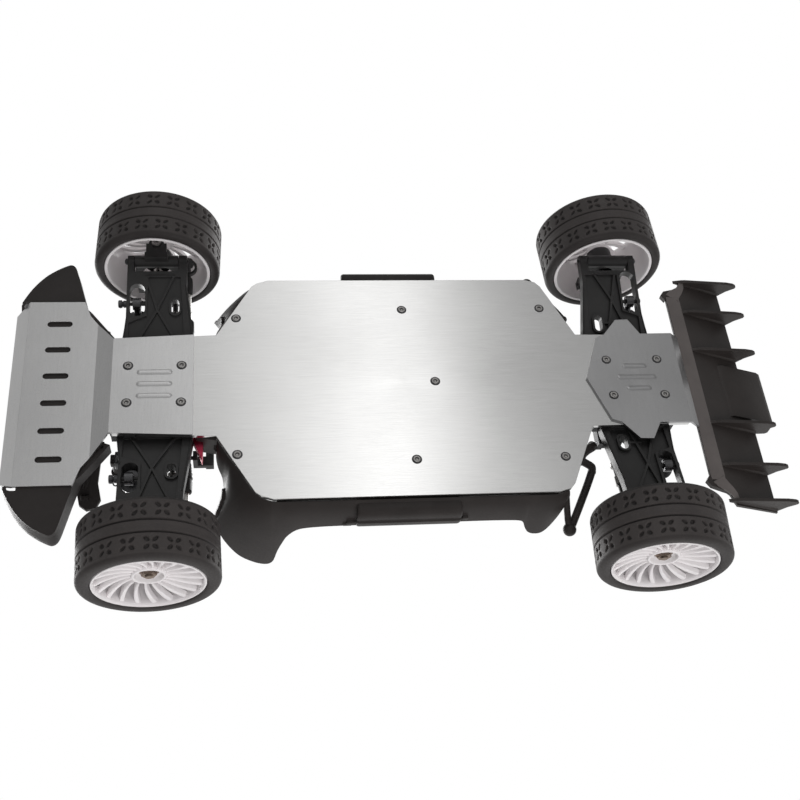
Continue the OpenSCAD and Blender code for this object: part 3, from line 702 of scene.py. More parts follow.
# ------------------------------------------------------------------ side guards
GS = [
    (149, 46, 149, 49, 50), (146, 51, 149.5, 56, 55), (143, 56, 148.2, 62, 60), (141, 60, 145.2, 68, 66), (139, 63, 144.6, 74, 74),
    (137, 66, 146.2, 80, 81), (132, 74, 149.6, 88, 86), (127, 83, 151, 93.5, 92), (122, 91, 145, 102, 102), (118, 95, 135, 109, 113),
    (114, 97.6, 124, 113.2, 117.6), (110, 99.2, 114.4, 115.2, 118.6), (107, 99.6, 108.6, 115, 114.5), (104, 99.6, 105, 113.4, 99), (101, 99.6, 101.4, 112, 87.5),
    (98, 99.6, 98, 111, 79), (92, 99.6, 92, 110, 72), (84, 99.6, 84, 109.4, 69.4), (66, 99.6, 66, 109, 68.4), (40, 99.6, 40, 109, 68),
    (10, 99.6, 10, 109, 67.6), (-20, 99.6, -20, 109, 67.2), (-50, 99.6, -50, 109, 67), (-70, 99.6, -70, 109.2, 67.2), (-77.4, 99.6, -77.4, 109.6, 67.8),
    (-80, 99.6, -80, 110, 70.6), (-82.4, 99.6, -82.2, 110.6, 77), (-86, 99.6, -85.6, 111.5, 83.4), (-91, 99.6, -90.6, 112, 86), (-97, 99.6, -97, 111.5, 85),
    (-102, 99.4, -103, 109, 77), (-108, 98, -109.4, 104.4, 62), (-112.5, 96.4, -113.4, 99, 50)]


def interp(rows, sub=6):
    rows = np.asarray(rows, float)
    n = len(rows)
    out = []
    for i in range(n - 1):
        p1, p2 = rows[i], rows[i + 1]
        p0 = rows[i - 1] if i else 2 * p1 - p2
        p3 = rows[i + 2] if i + 2 < n else 2 * p2 - p1
        for k in range(sub):
            t = k / sub
            out.append(0.5 * ((2 * p1) + (p2 - p0) * t + (2 * p0 - 5 * p1 + 4 * p2 - p3) * t * t + (3 * p1 - p0 - 3 * p2 + p3) * t ** 3))
    out.append(rows[-1])
    return np.array(out)


def shell_geo(P, t):
    """Closed skin of thickness t behind an n x m grid of points."""
    n, m = P.shape[:2]
    du = np.gradient(P, axis=0)
    dv = np.gradient(P, axis=1)
    nn = np.cross(du, dv)
    nn /= np.maximum(np.linalg.norm(nn, axis=2, keepdims=True), 1e-9)
    flip = np.where(nn[:, :, 1:2] < 0, -1, 1)
    nn = nn * flip
    Q = P - nn * t
    v = np.concatenate([P.reshape(-1, 3), Q.reshape(-1, 3)])
    o = n * m
    f = []
    for i in range(n - 1):
        for j in range(m - 1):
            a, b, c, d = i * m + j, (i + 1) * m + j, (i + 1) * m + j + 1, i * m + j + 1
            f.append((a, b, c, d))
            f.append((o + d, o + c, o + b, o + a))
    for i in range(n - 1):
        for j in (0, m - 1):
            a, b = i * m + j, (i + 1) * m + j
            f.append((a, b, o + b, o + a))
    for j in range(m - 1):
        for i in (0, n - 1):
            a, b = i * m + j, i * m + j + 1
            f.append((a, b, o + b, o + a))
    return v, f


def loft(sections):
    """Closed solid through equal-length closed sections."""
    k = len(sections[0])
    v = [tuple(p) for sct in sections for p in sct]
    f = []
    for a in range(len(sections) - 1):
        for b in range(k):
            c = (b + 1) % k
            f.append((a * k + b, a * k + c, (a + 1) * k + c, (a + 1) * k + b))
    f.append(tuple(reversed(range(k))))
    f.append(tuple((len(sections) - 1) * k + b for b in range(k)))
    return v, f


def guard_geo():
    g = interp(GS)
    ms = np.concatenate([[0, 0.02, 0.05, 0.09, 0.14], np.linspace(0.2, 1.0, 14)])
    P = np.zeros((len(g), len(ms), 3))
    for i, (fx, fy, rx, ry, rz) in enumerate(g):
        F = np.array([fx, fy + 0.3, 44.7])
        R = np.array([rx, ry, rz])
        C = np.array([fx * 0.62 + rx * 0.38, fy + 0.72 * (ry - fy) + 0.6, 44.7 + 0.20 * (rz - 44.7)])
        for j, q in enumerate(ms):
            P[i, j] = F * (1 - q) ** 2 + C * 2 * q * (1 - q) + R * q * q
    parts = [shell_geo(P, 1.9)]
    # carrying handle along the middle of the side, with a groove
    pr = [(98.6, 46.6), (105.5, 45.4), (108.2, 45.9), (110.4, 47.8), (111.6, 50.6), (111.9, 53.4), (110.7, 54.6), (110.7, 58.4), (111.9, 59.6), (111.8, 63.4), (110.8, 66.6), (108.4, 69.0), (105.0, 69.2), (101.0, 60.0)]
    cyy, czz = 105.0, 57.5
    secs = []
    for x, k in ((-30.2, 0.90), (-29.6, 0.96), (-28.4, 1.0), (45.6, 1.0), (46.8, 0.96), (47.4, 0.90)):
        secs.append([(x, cyy + (y - cyy) * k, czz + (z - czz) * k) for y, z in pr])
    parts.append(loft(secs))
    # latch tabs at both ends of the handle
    parts.append(box_geo((48.2, 103.0, 60.6), (54.6, 110.6, 64.6), 0.7))
    parts.append(box_geo((50.6, 103.0, 64.0), (57.4, 109.8, 67.6), 0.7))
    parts.append(box_geo((-36.2, 103.0, 58.6), (-31.4, 110.4, 62.4), 0.7))
    # foot flange on the sheet, and the screw tab
    parts.append(box_geo((-106, 92.6, 44.75), (106, 98.6, 47.4), 0.5))
    parts.append(box_geo((-115.5, 64.2, 44.75), (-108, 90, 47.0), 0.5))
    parts.append(loft([[(x, y, z) for x, y in ((148.4, 45.4), (163.6, 42.8), (163.6, 44.4), (149.2, 47.4))] for z in (44.75, 45.2, 65.4, 66.0)]))
    return join_geo(parts)


gv, gf = guard_geo()
for sd in ("left", "right"):
    v_, f_ = (gv, gf) if sd == "left" else mir((gv, gf))
    o = make(f"{sd}_guard_shell", v_, f_, M["guard"], "chassis", auto=42, slot="guard_plastic")
    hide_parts(f"{sd}_side_guard")

# ------------------------------------------------------------------ underside details
heads, sockets = [], []
for x, y in ((133.6, 61.6), (1, 69), (-113, 69.5)):
    heads += both([screw_geo((x, y, 42.6), (0, 0, -1), 2.95, 1.9, 1.45)])
heads.append(screw_geo((-19.7, 0, 42.6), (0, 0, -1), 2.95, 1.9, 1.45))
for x, y in ((175, 16.5), (215, 16.5), (-160, 16.7), (-202, 16.7)):
    heads += both([screw_geo((x, y, 40.9), (0, 0, -1), 2.95, 2.3, 1.45)])
make("underside_screws", *join_geo(heads), M["screw"], "chassis", auto=30, slot="steel")
# painted shade: a dark ring round each underside screw head stands in for the shadow in its counterbore; these are not
# washers
rings = []
for x, y, z in ((133.6, 61.6, 41.5), (1, 69, 41.5), (-113, 69.5, 41.5), (175, 16.5, 39.5), (215, 16.5, 39.5), (-160, 16.7, 39.5), (-202, 16.7, 39.5)):
    rings += both([lathe_at([(2.98, 0.5), (2.98, -0.14), (3.25, -0.30), (3.75, -0.26), (3.95, 0.02), (3.95, 0.5)], (x, y, z), (0, 0, 1), 36)])
rings.append(lathe_at([(2.98, 0.5), (2.98, -0.14), (3.25, -0.30), (3.75, -0.26), (3.95, 0.02), (3.95, 0.5)], (-19.7, 0, 41.5), (0, 0, 1), 36))
make("counterbore_shade_rings", *join_geo(rings), M["dark"], "chassis", auto=30, slot="steel")

# hoops ahead of the rear wheels: two legs to a ball and an arch over the front of the arm
hoop = [tube_geo([(-112.2, 84.5, 50), (-112.6, 97, 57), (-113.8, 108, 66), (-114.8, 116.5, 71)], 2.6, 14),
        tube_geo([(-138.0, 72.4, 62), (-133.5, 82, 63.6), (-126, 97, 67), (-116.4, 115.5, 71)], 3.1, 14),
        tube_geo([(-138.0, 72.6, 62), (-137.4, 70.2, 58.5), (-132.5, 68.4, 55.5), (-127.5, 66.6, 53.6), (-122.5, 66, 51.5), (-119, 66, 49.5)], 3.1, 14),
        tube_geo([(-127.0, 66.8, 53.8), (-130.2, 61, 54.6), (-135.0, 56.6, 56), (-139.0, 54.0, 57.2), (-142.4, 51.0, 60), (-143.0, 47.0, 65)], (4.2, 3.2), 16),
        ball_geo((-115.2, 116.6, 71.2), 5.2), ball_geo((-138.0, 72.5, 62), 3.3), ball_geo((-127.0, 66.8, 53.8), 4.3),
        box_geo((-117.4, 61.6, 44.8), (-103.4, 88.4, 48.4), 0.8)]
post = [(3.0, 0), (3.0, 14), (3.3, 15), (3.3, 19), (3.0, 20), (3.0, 44.4), (2.6, 45.2)]
posts = []
for x, x0, x1 in ((229.5, 224.2, 233.2), (-210.5, -214.4, -205.2)):
    posts.append(turn([(r, h) for r, h in post], (x, 28, 104.6), (0, 0, 1), 24))
    posts.append(box_geo((x0, 23.8, 104.0), (x1, 32.2, 110.4), 0.8))
    posts.append(turn([(4.4, 0), (5.0, 0.6), (5.0, 2.4), (4.4, 3.0)], (x, 28, 124.0), (0, 0, 1), 28))
stays = make("body_stay_tubes", *join_geo(both(hoop) + both(posts)), M["guard"], "chassis", auto=40, slot="guard_plastic")
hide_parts("body_stays")
# wire clips through the posts
clips = []
for x in (229.5, -210.5):
    clips.append(tube_geo([(x, 20.0, 131.6), (x, 24, 131.6), (x, 32, 131.6), (x, 35.4, 131.6), (x + 1.9, 37.2, 131.8), (x + 3.9, 35.4, 132.0), (x + 3.0, 31, 132.0), (x + 3.9, 28, 132.0), (x + 3.0, 25, 132.0), (x + 4.6, 20, 132.0)], 0.6, 8, 5))
make("body_clips", *join_geo(both(clips)), M["dark"], "chassis", slot="steel")

# red gusset on the right front corner, and the upright bracket panels behind the splitter wings
tri = [(158.5, -39.5), (167.5, -41.0), (159.5, -60.5)]
make("red_gusset", *loft([[(x, y, z) for x, y in tri] for z in (50.5, 51.0, 58.0, 58.5)]), M["red"], "chassis", auto=20, slot="steel")


def panel(pts, x0, x1):
    return loft([[(x, y, z) for y, z in pts] for x in (x0, x0 + 0.4, x1 - 0.4, x1)])


def slanted(pts, z0, k, t, y0):
    """Plate leaning outwards: outline in x and y, height rising with y."""
    secs = []
    for dz in (0, 0.5, t - 0.5, t):
        secs.append([(x, y, z0 + (y - y0) * k + dz) for x, y in pts])
    return loft(secs)


brk = both([slanted([(231, 43), (238, 44), (243, 52), (249, 64), (252, 73), (251, 79), (246, 82), (239, 81), (235, 76), (236.6, 66), (234, 54)], 50.6, 0.86, 3.0, 43),
            tube_geo([(236, 45, 51), (241, 56, 60), (246, 70, 73)], 1.8, 12),
            box_geo((228.5, 20, 50.3), (268, 28, 56.4), 0.8),
            box_geo((230.2, 44.2, 48.2), (235.4, 51.0, 58), 0.9),
            turn([(3.2, 0), (3.2, 3.2), (2.8, 3.8)], (246.5, 76, 78.6), (0, -0.65, -0.75), 24)])
make("splitter_brackets", *join_geo(brk), M["guard"], "chassis", auto=35, slot="guard_plastic")

# diffuser: rounded blade tips, end plates and the ears that reach towards the wheels
bl = []
for y in (35, 73.5, 105):
    for s_ in (-1, 1):
        yy = y * s_ + (1.1 if s_ > 0 else -1.1) - 1.1 * s_ * 0
        y0, y1 = sorted((s_ * (y - 1.3), s_ * (y + 1.3)))
        pts = [(-238.5, 53.2), (-243, 52.3), (-249, 51.7), (-288, 55.2), (-294.4, 56.8), (-297.2, 58.6), (-297.0, 60.6), (-290, 65.4), (-284.6, 71.6), (-262, 63.4)]
        bl.append(loft([[(x, yv, z) for x, z in pts] for yv in (y0, y0 + 0.7, y1 - 0.7, y1)]))
        # rounded foot where the blade meets the floor of the diffuser
        bl.append(tube_geo([(-242, s_ * y, 54.0), (-262, s_ * y, 61.6), (-283, s_ * y, 69.8)], (1.4, 2.6), 10, 4))
ear = [(-226.8, 84), (-229, 88.5), (-236, 90.8), (-243.5, 93.5), (-247.5, 98.6), (-248.5, 106), (-244, 106), (-243.0, 100.2), (-239.5, 97.2), (-233, 95.2), (-226.8, 93.2), (-223.4, 88.6)]
for s_ in (-1, 1):
    bl.append(loft([[(x, s_ * y, z0 + (-226 - x) * 0.16) for x, y in ear] for z0 in (50.4, 51.0, 54.0, 54.6)]))
make("diffuser_blades", *join_geo(bl), M["diff"], "chassis", auto=30, slot="guard_plastic")
mb = [(-262, 62.4), (-266.5, 61.6), (-301.5, 74.2), (-305, 77.2), (-305, 90.2), (-303, 92), (-285, 92.4), (-262, 77)]
lipp = [(-227.3, 50.9), (-228.0, 50.4), (-236.0, 51.4), (-240.5, 53.0), (-240.5, 53.9), (-236.2, 52.2), (-228, 51.3)]
def lip_k(y):
    return {83: 0.97, 85.6: 0.93, 87.0: 0.90, 87.5: 0.88}.get(abs(y), 1.0)


sweep = []
for (x, y), w in (((-233.9, 86.8), 6.1), ((-235.6, 89.8), 5.4), ((-238.6, 92.6), 4.4), ((-242.0, 95.8), 3.4), ((-244.6, 99.6), 2.6), ((-245.6, 104.4), 1.9)):
    sweep.append((x, y, w))
secs = []
for i, (x, y, w) in enumerate(sweep):
    a, b = sweep[max(i - 1, 0)], sweep[min(i + 1, len(sweep) - 1)]
    d = Vector((b[0] - a[0], b[1] - a[1])).normalized()
    n_ = Vector((-d.y, d.x))
    sec = []
    for e, dz in ((-1, 0.0), (1, 0.0), (1, 1.3), (-1, 1.3)):
        px_, py_ = x + n_.x * w * e, y + n_.y * w * e
        sec.append((px_, py_, 50.4 + (-226 - px_) * 0.16 - 0.55 + dz))
    secs.append(sec)
make("diffuser_strip_ends", *join_geo(both([loft(secs)])), M["diffstrip"], "chassis", auto=30, slot="guard_plastic")


make("diffuser_lip", *loft([[(-233.9 + (x + 233.9) * lip_k(y), y, 51.9 + (z - 51.9) * lip_k(y)) for x, z in lipp] for y in (-87.5, -87.0, -85.6, -83, 83, 85.6, 87.0, 87.5)]), M["diffstrip"], "chassis", auto=30, slot="guard_plastic")
make("diffuser_hump", *loft([[(x, y, z) for x, z in mb] for y in (-24.6, -23.8, 23.8, 24.6)]), M["diff"], "chassis", auto=30, slot="guard_plastic")

# tie rods: rubber boot, hexagon, threaded rod and ball cup, riding on each rod
for sd, s_ in (("left", 1), ("right", -1)):
    ay = 126 - 81
    a0 = Vector((172, ay * s_, 75))
    d = Vector((0, s_ * cos(rad(11.174)), -sin(rad(11.174))))
    gs = [turn([(3.2, 6.0), (3.5, 7.0), (3.5, 8.0), (3.1, 8.8), (3.8, 10.0), (3.3, 11.2), (4.0, 12.6), (3.5, 14.2), (4.5, 16.2), (3.9, 18.2), (4.8, 20.2), (4.0, 22.2), (4.6, 24.2), (4.4, 33), (3.4, 34.5)], a0, d, 28),
          turn([(2.7, 34.3), (2.9, 34.7), (2.9, 42), (2.7, 42.4)], a0, d, 6),
          turn([(2.05, 42), (2.1, 42.3), (2.1, 58), (2.05, 58.4)], a0, d, 20),
          turn([(2.8, 58), (3.4, 58.8), (3.4, 70), (3.0, 72.4)], a0, d, 24)]
    make(f"{sd}_tie_rod_boot", *join_geo([gs[0], gs[3]]), M["arm"], f"{sd}_tie_rod", auto=30, slot="arm_plastic")
    make(f"{sd}_tie_rod_thread", *join_geo([gs[1], gs[2]]), M["steel"], f"{sd}_tie_rod", auto=30, slot="steel")

# springs: a coil wound along each damper, built in the car's frame and attached to no body, so it does not follow the
# stroke
SH_LEN, SH_A = math.hypot(34 + 45 * cos(rad(11.174)) - 50, 53 - 45 * sin(rad(11.174)) - 118), math.atan2(34 + 45 * cos(rad(11.174)) - 50, 118 - 53 + 45 * sin(rad(11.174)))
SP_BOT, SP_TOP, SP_R, SP_W, TURNS = -SH_LEN + 14.6 + 0.95, -16.2 - 0.95, 7.5, 0.95, 7


def shock_pt(front, s_, p):
    """Point of a damper's own frame in the car's frame, in mm."""
    y = p[1] * cos(SH_A) - p[2] * sin(SH_A)
    z = p[1] * sin(SH_A) + p[2] * cos(SH_A)
    x = 196 + 15 + p[0] if front else -177 - 15 - p[0]
    return (x, s_ * (50 + y), 118 + z)


def spring_geo(front, s_, per=26, ring=12):
    n = int(TURNS * per)
    v, f = [], []
    for i in range(n + 1):
        t = i / n
        a = i * 2 * pi / per
        z = SP_BOT + (SP_TOP - SP_BOT) * t
        for k in range(ring):
            b = k * 2 * pi / ring
            r = SP_R + SP_W * cos(b)
            v.append(shock_pt(front, s_, (r * cos(a), r * sin(a), z + SP_W * sin(b))))
    for i in range(n):
        for k in range(ring):
            j = (k + 1) % ring
            f.append((i * ring + k, i * ring + j, (i + 1) * ring + j, (i + 1) * ring + k))
    f.append(tuple(reversed(range(ring))))
    f.append(tuple(n * ring + k for k in range(ring)))
    return v, f


for fr in ("front", "rear"):
    for sd, s_ in (("left", 1), ("right", -1)):
        o = make(f"{fr}_{sd}_coil", *spring_geo(fr == "front", s_), M["spring"], None, auto=60, slot="spring_steel")
        top = Vector(shock_pt(fr == "front", s_, (0, 0, SP_TOP + 0.95))) * MM
        bot = Vector(shock_pt(fr == "front", s_, (0, 0, SP_BOT - 0.95))) * MM
        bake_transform(o)
        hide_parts(f"{fr}_{sd}_spring")

# splitter: smooth wings with outward-leaning walls, floor and foam block
WO = [(246, 66), (251.6, 84), (257, 104), (259.6, 113.6), (261.6, 117.8), (264.4, 119.4), (268, 118.2), (274, 114.8), (281, 109.6), (287, 103.2), (292.4, 95.6), (297, 87), (300.6, 78.6), (303, 69.6), (304, 58), (304, 40), (304, 20), (304, 0)]
wo = interp(WO, 5)
wo = np.concatenate([wo, (wo * [1, -1])[::-1][1:]])
tg = np.gradient(wo, axis=0)
nr = np.stack([tg[:, 1], -tg[:, 0]], 1)
nr /= np.linalg.norm(nr, axis=1, keepdims=True)
mid = np.array([270.0, 0.0])
if ((wo[60] - mid) * nr[60]).sum() < 0:
    nr = -nr


def lip_edge(x):
    """Half-width where the bent lip of the front sheet ends."""
    return 83.4 - max(0.0, x - 294) * 0.58


lv = [(0.0, -0.3), (0.04, 0.0), (0.15, 0.2), (0.4, 0.6), (0.7, 1.0), (0.94, 1.2), (1.0, 0.9)]
W = np.zeros((len(wo), len(lv), 3))
for i in range(len(wo)):
    x, y = wo[i]
    k = min(1.0, max(0.0, (lip_edge(x) - abs(y)) / 2.0)) if x > 285 else 0.0
    z0 = 47.6 + 10.2 * k
    for j, (q, o_) in enumerate(lv):
        W[i, j] = (x + nr[i, 0] * o_, y + nr[i, 1] * o_, z0 + (63.4 - z0) * q)


def skin(P, off):
    """Closed wall between a grid and the same grid moved by off (per point)."""
    n, m = P.shape[:2]
    Q = P + off
    v = np.concatenate([P.reshape(-1, 3), Q.reshape(-1, 3)])
    o = n * m
    f = []
    for i in range(n - 1):
        for j in range(m - 1):
            a, b, c, d = i * m + j, (i + 1) * m + j, (i + 1) * m + j + 1, i * m + j + 1
            f += [(a, b, c, d), (o + d, o + c, o + b, o + a)]
        for j in (0, m - 1):
            a, b = i * m + j, (i + 1) * m + j
            f.append((a, b, o + b, o + a))
    for j in range(m - 1):
        for i in (0, n - 1):
            a, b = i * m + j, i * m + j + 1
            f.append((a, b, o + b, o + a))
    return v, f


offs = np.zeros_like(W)
offs[:, :, 0] = -nr[:, 0:1] * 2.2
offs[:, :, 1] = -nr[:, 1:2] * 2.2
sp = [skin(W, offs)]
fl = [(x + nr[i, 0] * 0.25, y + nr[i, 1] * 0.25) for i, (x, y) in enumerate(wo) if abs(y) > lip_edge(x) + 0.4]
fh = [p for p in fl if p[1] > 0]
fl_poly = fh + [(294, 83.7), (290.2, 83.7), (290.2, -83.7), (294, -83.7)] + [p for p in fl if p[1] < 0]
sp.append(loft([[(x, y, z) for x, y in fl_poly] for z in (47.2, 47.5, 49.8, 50.2)]))
sp += both([loft([[(x, y, z) for x, y in ((226.4, 47.2), (230, 45.8), (250.4, 70.4), (249.4, 76.4), (245.6, 72.4))] for z in (48.2, 48.6, 59.6, 60.0)])])
spl = make("splitter_tray", *join_geo(sp), M["guard"], "chassis", auto=40, slot="guard_plastic")
foam = make("bumper_foam", *join_geo([box_geo((264, -52, 50.5), (296, 52, 72), 2.5, 3)]), M["foam"], "chassis", auto=40, slot="guard_plastic")
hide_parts("front_splitter")

# pins and collars on the arms
CO, SI = cos(rad(11.174)), sin(rad(11.174))


def armpt(front, s_, u, v, w=0.0):
    """Point of an arm's own frame in the car's frame, in mm."""
    x = 196 + u if front else -177 - u
    return Vector((x, s_ * (34 + v * CO + w * SI), 53 - v * SI + w * CO))


for fr in ("front", "rear"):
    front = fr == "front"
    for sd, s_ in (("left", 1), ("right", -1)):
        dirx = 1 if front else -1
        body = f"{fr}_{sd}_arm"
        p = armpt(front, s_, 22.6, 45)
        if front:
            bolt = [(2.6, 0), (2.9, 0.4), (2.9, 2.6), (2.4, 3.0), (2.2, 3.1), (2.2, 3.6), (3.0, 3.8), (3.2, 4.2), (3.2, 6.2), (2.8, 6.7)]
        else:
            bolt = [(2.3, 0), (2.6, 0.3), (2.6, 1.3), (2.1, 1.7)]
        g = [turn(bolt, p, (dirx, 0, 0), 24)]
        for u0, dd in ((22.8, 1), (-20.9, -1)):
            q = armpt(front, s_, u0, 82.565)
            g.append(turn([(1.6, 0), (2.6, 0.3), (2.6, 1.3), (2.1, 1.8)], q, (dirx * dd, 0, 0), 20))
        make(f"{fr}_{sd}_arm_bolts", *join_geo(g), M["dark"], body, auto=30, slot="steel")
        # stiffening ribs along the edges of the underside
        rb = []
        for a_, b_ in (((-28.4, 12), (-23.2, 60)), ((24.6, 12), (22.2, 34)), ((-22.6, 8.0), (20.6, 8.0)), ((-15, 68.6), (9, 68.6))):
            pa, pb = armpt(front, s_, a_[0], a_[1], -4.1), armpt(front, s_, b_[0], b_[1], -4.1)
            rb.append(tube_geo([pa, (pa + pb) / 2, pb], 0.55, 8, 2))
        make(f"{fr}_{sd}_arm_ribs", *join_geo(rb), M["arm"], body, auto=50, slot="arm_plastic")
        # kingpin screws
        cb = f"{fr}_{sd}_hub_carrier"
        x0 = 196 if front else -177
        if front:
            g = [screw_geo((x0, s_ * 126, 27.6), (0, 0, -1), 3.6, 2.2, 1.5), screw_geo((x0, s_ * 126, 72.3), (0, 0, 1), 3.6, 2.4, 1.5)]
        else:
            g = [screw_geo((x0 - 9, s_ * 113, 73.1), (0, 0, 1), 2.2, 1.6, 1.1), screw_geo((x0 + 2, s_ * 113, 73.1), (0, 0, 1), 2.2, 1.6, 1.1)]
        make(f"{fr}_{sd}_carrier_screws", *join_geo(g), M["screw"], cb, auto=30, slot="steel")
        # damper: cap, knurled adjuster and lower cap on the body; all in the damper's own frame
        ax_ = 15 if front else -15
        top_p = Vector((x0 + ax_, s_ * 50, 118))
        low = Vector((x0 + ax_, s_ * (34 + 45 * CO), 53 - 45 * SI))
        dn = (low - top_p).normalized()
        cap = turn([(4.6, 4.4), (6.0, 5.0), (6.3, 5.8), (6.3, 10.4), (5.8, 11.0)], top_p, dn, 28)
        adj = turn([(9.0, 0), (9.5, 0.5), (9.5, 3.4), (9.0, 3.9)], top_p + dn * 12.4, dn, 28)
        knurl = [turn([(0.7, 0.2), (0.7, 3.6)], top_p + dn * 12.4 + (lambda xx, yy: xx * (9.4 * cos(k * pi / 10)) + yy * (9.4 * sin(k * pi / 10)))(*frame_z(dn)[:2]), dn, 6) for k in range(20)]
        low_cap = turn([(6.5, 40.4), (6.8, 41.0), (6.8, 43.8), (6.2, 44.4), (3.6, 44.8)], top_p, dn, 28)
        make(f"{fr}_{sd}_damper_caps", *join_geo([cap, adj, low_cap] + knurl), M["anod"], f"{fr}_{sd}_shock_body", auto=30, slot="shock_anodised")

# ------------------------------------------------------------------ top side
# battery: straps, end lips and leads
st = []
for x in (-80, 8):
    st.append(loft([[(x - 0.6, y, z) for y, z in ((31.1, 46), (31.1, 70.6), (32.3, 72.0), (81.7, 72.0), (82.9, 70.6), (82.9, 46), (82.3, 46), (82.3, 70.2), (81.4, 71.3), (32.6, 71.3), (31.7, 70.2), (31.7, 46))],
                    [(x + 10.6, y, z) for y, z in ((31.1, 46), (31.1, 70.6), (32.3, 72.0), (81.7, 72.0), (82.9, 70.6), (82.9, 46), (82.3, 46), (82.3, 70.2), (81.4, 71.3), (32.6, 71.3), (31.7, 70.2), (31.7, 46))]]))
    st.append(box_geo((x + 0.6, 48, 71.8), (x + 9.4, 70, 73.6), 0.6))
make("battery_straps", *join_geo(st), M["strap"], "chassis", auto=40, slot="case_plastic")
tray_ = [box_geo((-102.6, 31.0, 44.7), (-99.8, 83.0, 55), 0.6), box_geo((37.8, 31.0, 44.7), (40.6, 83.0, 55), 0.6), box_geo((-101, 30.2, 44.7), (39, 31.6, 56), 0.5), box_geo((-101, 82.4, 44.7), (39, 83.8, 56), 0.5)]
for x in (-90, -60, -30, 0, 26):
    tray_.append(box_geo((x - 0.9, 28.6, 44.7), (x + 0.9, 30.4, 54), 0.3))
    tray_.append(box_geo((x - 0.9, 83.6, 44.7), (x + 0.9, 85.4, 54), 0.3))
make("battery_tray", *join_geo(tray_), M["case"], "chassis", auto=40, slot="case_plastic")
make("battery_lead_red", *tube_geo([(37, 50, 62), (46, 50, 66), (58, 44, 70), (62, 28, 68), (62, 12, 62), (60, 0, 57)], 1.9, 12), M["wire_red"], "chassis", slot="battery_wrap")
make("battery_lead_black", *tube_geo([(37, 60, 62), (48, 60, 67), (64, 50, 71), (70, 30, 69), (69, 12, 62), (67, 0, 57)], 1.9, 12), M["wire_black"], "chassis", slot="battery_wrap")
make("battery_plug", *join_geo([box_geo((56, 14, 62.5), (74, 24, 71.5), 1.0), box_geo((57.5, 23.8, 63.5), (72.5, 32, 70.5), 0.8)]), M["wire_yellow"], "chassis", auto=40, slot="battery_wrap")
make("balance_lead", *join_geo([tube_geo([(-99, 44 + i * 1.9, 60), (-106, 44 + i * 1.9, 64), (-108, 47 + i * 1.9, 70), (-98, 50 + i * 1.9, 72.5), (-90, 52 + i * 1.9, 72)], 0.75, 8) for i in range(4)] + [box_geo((-90, 50.5, 69.4), (-83, 60.5, 74), 0.5)]), M["white"], "chassis", slot="battery_wrap")

# speed controller: heat sink rails, fan, capacitors
fan = [box_geo((44, -62, 75.1), (74, -60.6, 83), 0.4), box_geo((44, -31.4, 75.1), (74, -30, 83), 0.4), box_geo((44, -62, 75.1), (45.4, -30, 83), 0.4), box_geo((72.6, -62, 75.1), (74, -30, 83), 0.4),
       lathe_at([(14.2, 0), (15.2, 0), (15.2, 7.6), (14.2, 7.6)], (59, -46, 75.2), (0, 0, 1), 40), turn([(5.4, 0), (5.6, 0.4), (5.6, 6.0), (5.0, 6.8)], (59, -46, 75.2), (0, 0, 1), 28)]
for k in range(7):
    a_ = k * 2 * pi / 7
    c_, s2 = cos(a_), sin(a_)
    rows_ = []
    for r_ in (5.4, 9, 13.4):
        sw = (r_ - 5.4) * 0.05
        x1, y1 = 59 + r_ * cos(a_ + sw), -46 + r_ * sin(a_ + sw)
        x2, y2 = 59 + r_ * cos(a_ + sw + 0.42), -46 + r_ * sin(a_ + sw + 0.42)
        rows_.append([(x1, y1, 77.0), (x2, y2, 80.6), (x2, y2, 81.2), (x1, y1, 77.6)])
    fan.append(loft(rows_))
for k in (-1, 1):
    fan.append(rod_geo((59, -46 + k * 5, 81.4), (59, -46 + k * 14.6, 81.4), 0.7, 8, 0.1))
    fan.append(rod_geo((59 + k * 5, -46, 81.4), (59 + k * 14.6, -46, 81.4), 0.7, 8, 0.1))
make("controller_fan", *join_geo(fan), M["case"], "chassis", auto=35, slot="case_plastic")
make("controller_fins", *join_geo([box_geo((36.2 + i * 7, -64.2, 67.9), (39.8 + i * 7, -27.8, 75.2), 0.5) for i in range(7)]), M["anod"], "chassis", auto=40, slot="shock_anodised")
cap_ = [turn([(4.6, 0), (5.0, 0.5), (5.0, 14.5), (4.7, 15), (4.4, 14.7)], (88, -58 + i * 11.5, 50.5), (0, 0.0, 1), 28) for i in range(3)]
make("capacitors", *join_geo(cap_ + [box_geo((83.8, -64, 46), (93.4, -29, 50.6), 0.6)]), M["wire_black"], "chassis", auto=35, slot="case_plastic")
make("controller_screws", *join_geo([screw_geo((x, y, 68.0), (0, 0, 1), 1.9, 1.3, 0.9) for x in (36, 82) for y in (-28.2,)] + [screw_geo((x, y, 83.0), (0, 0, 1), 1.5, 0.9, 0.8) for x in (46.4, 71.6) for y in (-59.6, -32.4)]), M["screw"], "chassis", auto=30, slot="steel")

# motor: finned sleeve, end bell, three leads with plugs
fins = [lathe_at([(17.9, 0), (21.0, 0.3), (21.2, 0.7), (21.2, 1.3), (21.0, 1.7), (17.9, 2.0)], (-51 - i * 4.6, -29, 64), (-1, 0, 0), 48) for i in range(9)]
make("motor_fins", *join_geo(fins), M["anod"], "chassis", auto=35, slot="motor_metal")
bell = [lathe_at([(14.6, 0), (17.6, 0), (18.0, 0.5), (18.0, 1.8), (17.0, 2.6), (14.6, 2.6)], (-96.0, -29, 64), (-1, 0, 0), 48), turn([(5.6, 0), (6.0, 0.5), (6.0, 2.0), (5.2, 2.8)], (-99.0, -29, 64), (-1, 0, 0), 32)]
for k in range(3):
    a_ = rad(90 + 120 * k)
    bell.append(screw_geo((-99.0, -29 + 10.6 * cos(a_), 64 + 10.6 * sin(a_)), (-1, 0, 0), 2.2, 1.5, 1.1))
make("motor_end_bell", *join_geo(bell), M["screw"], "chassis", auto=35, slot="motor_metal")
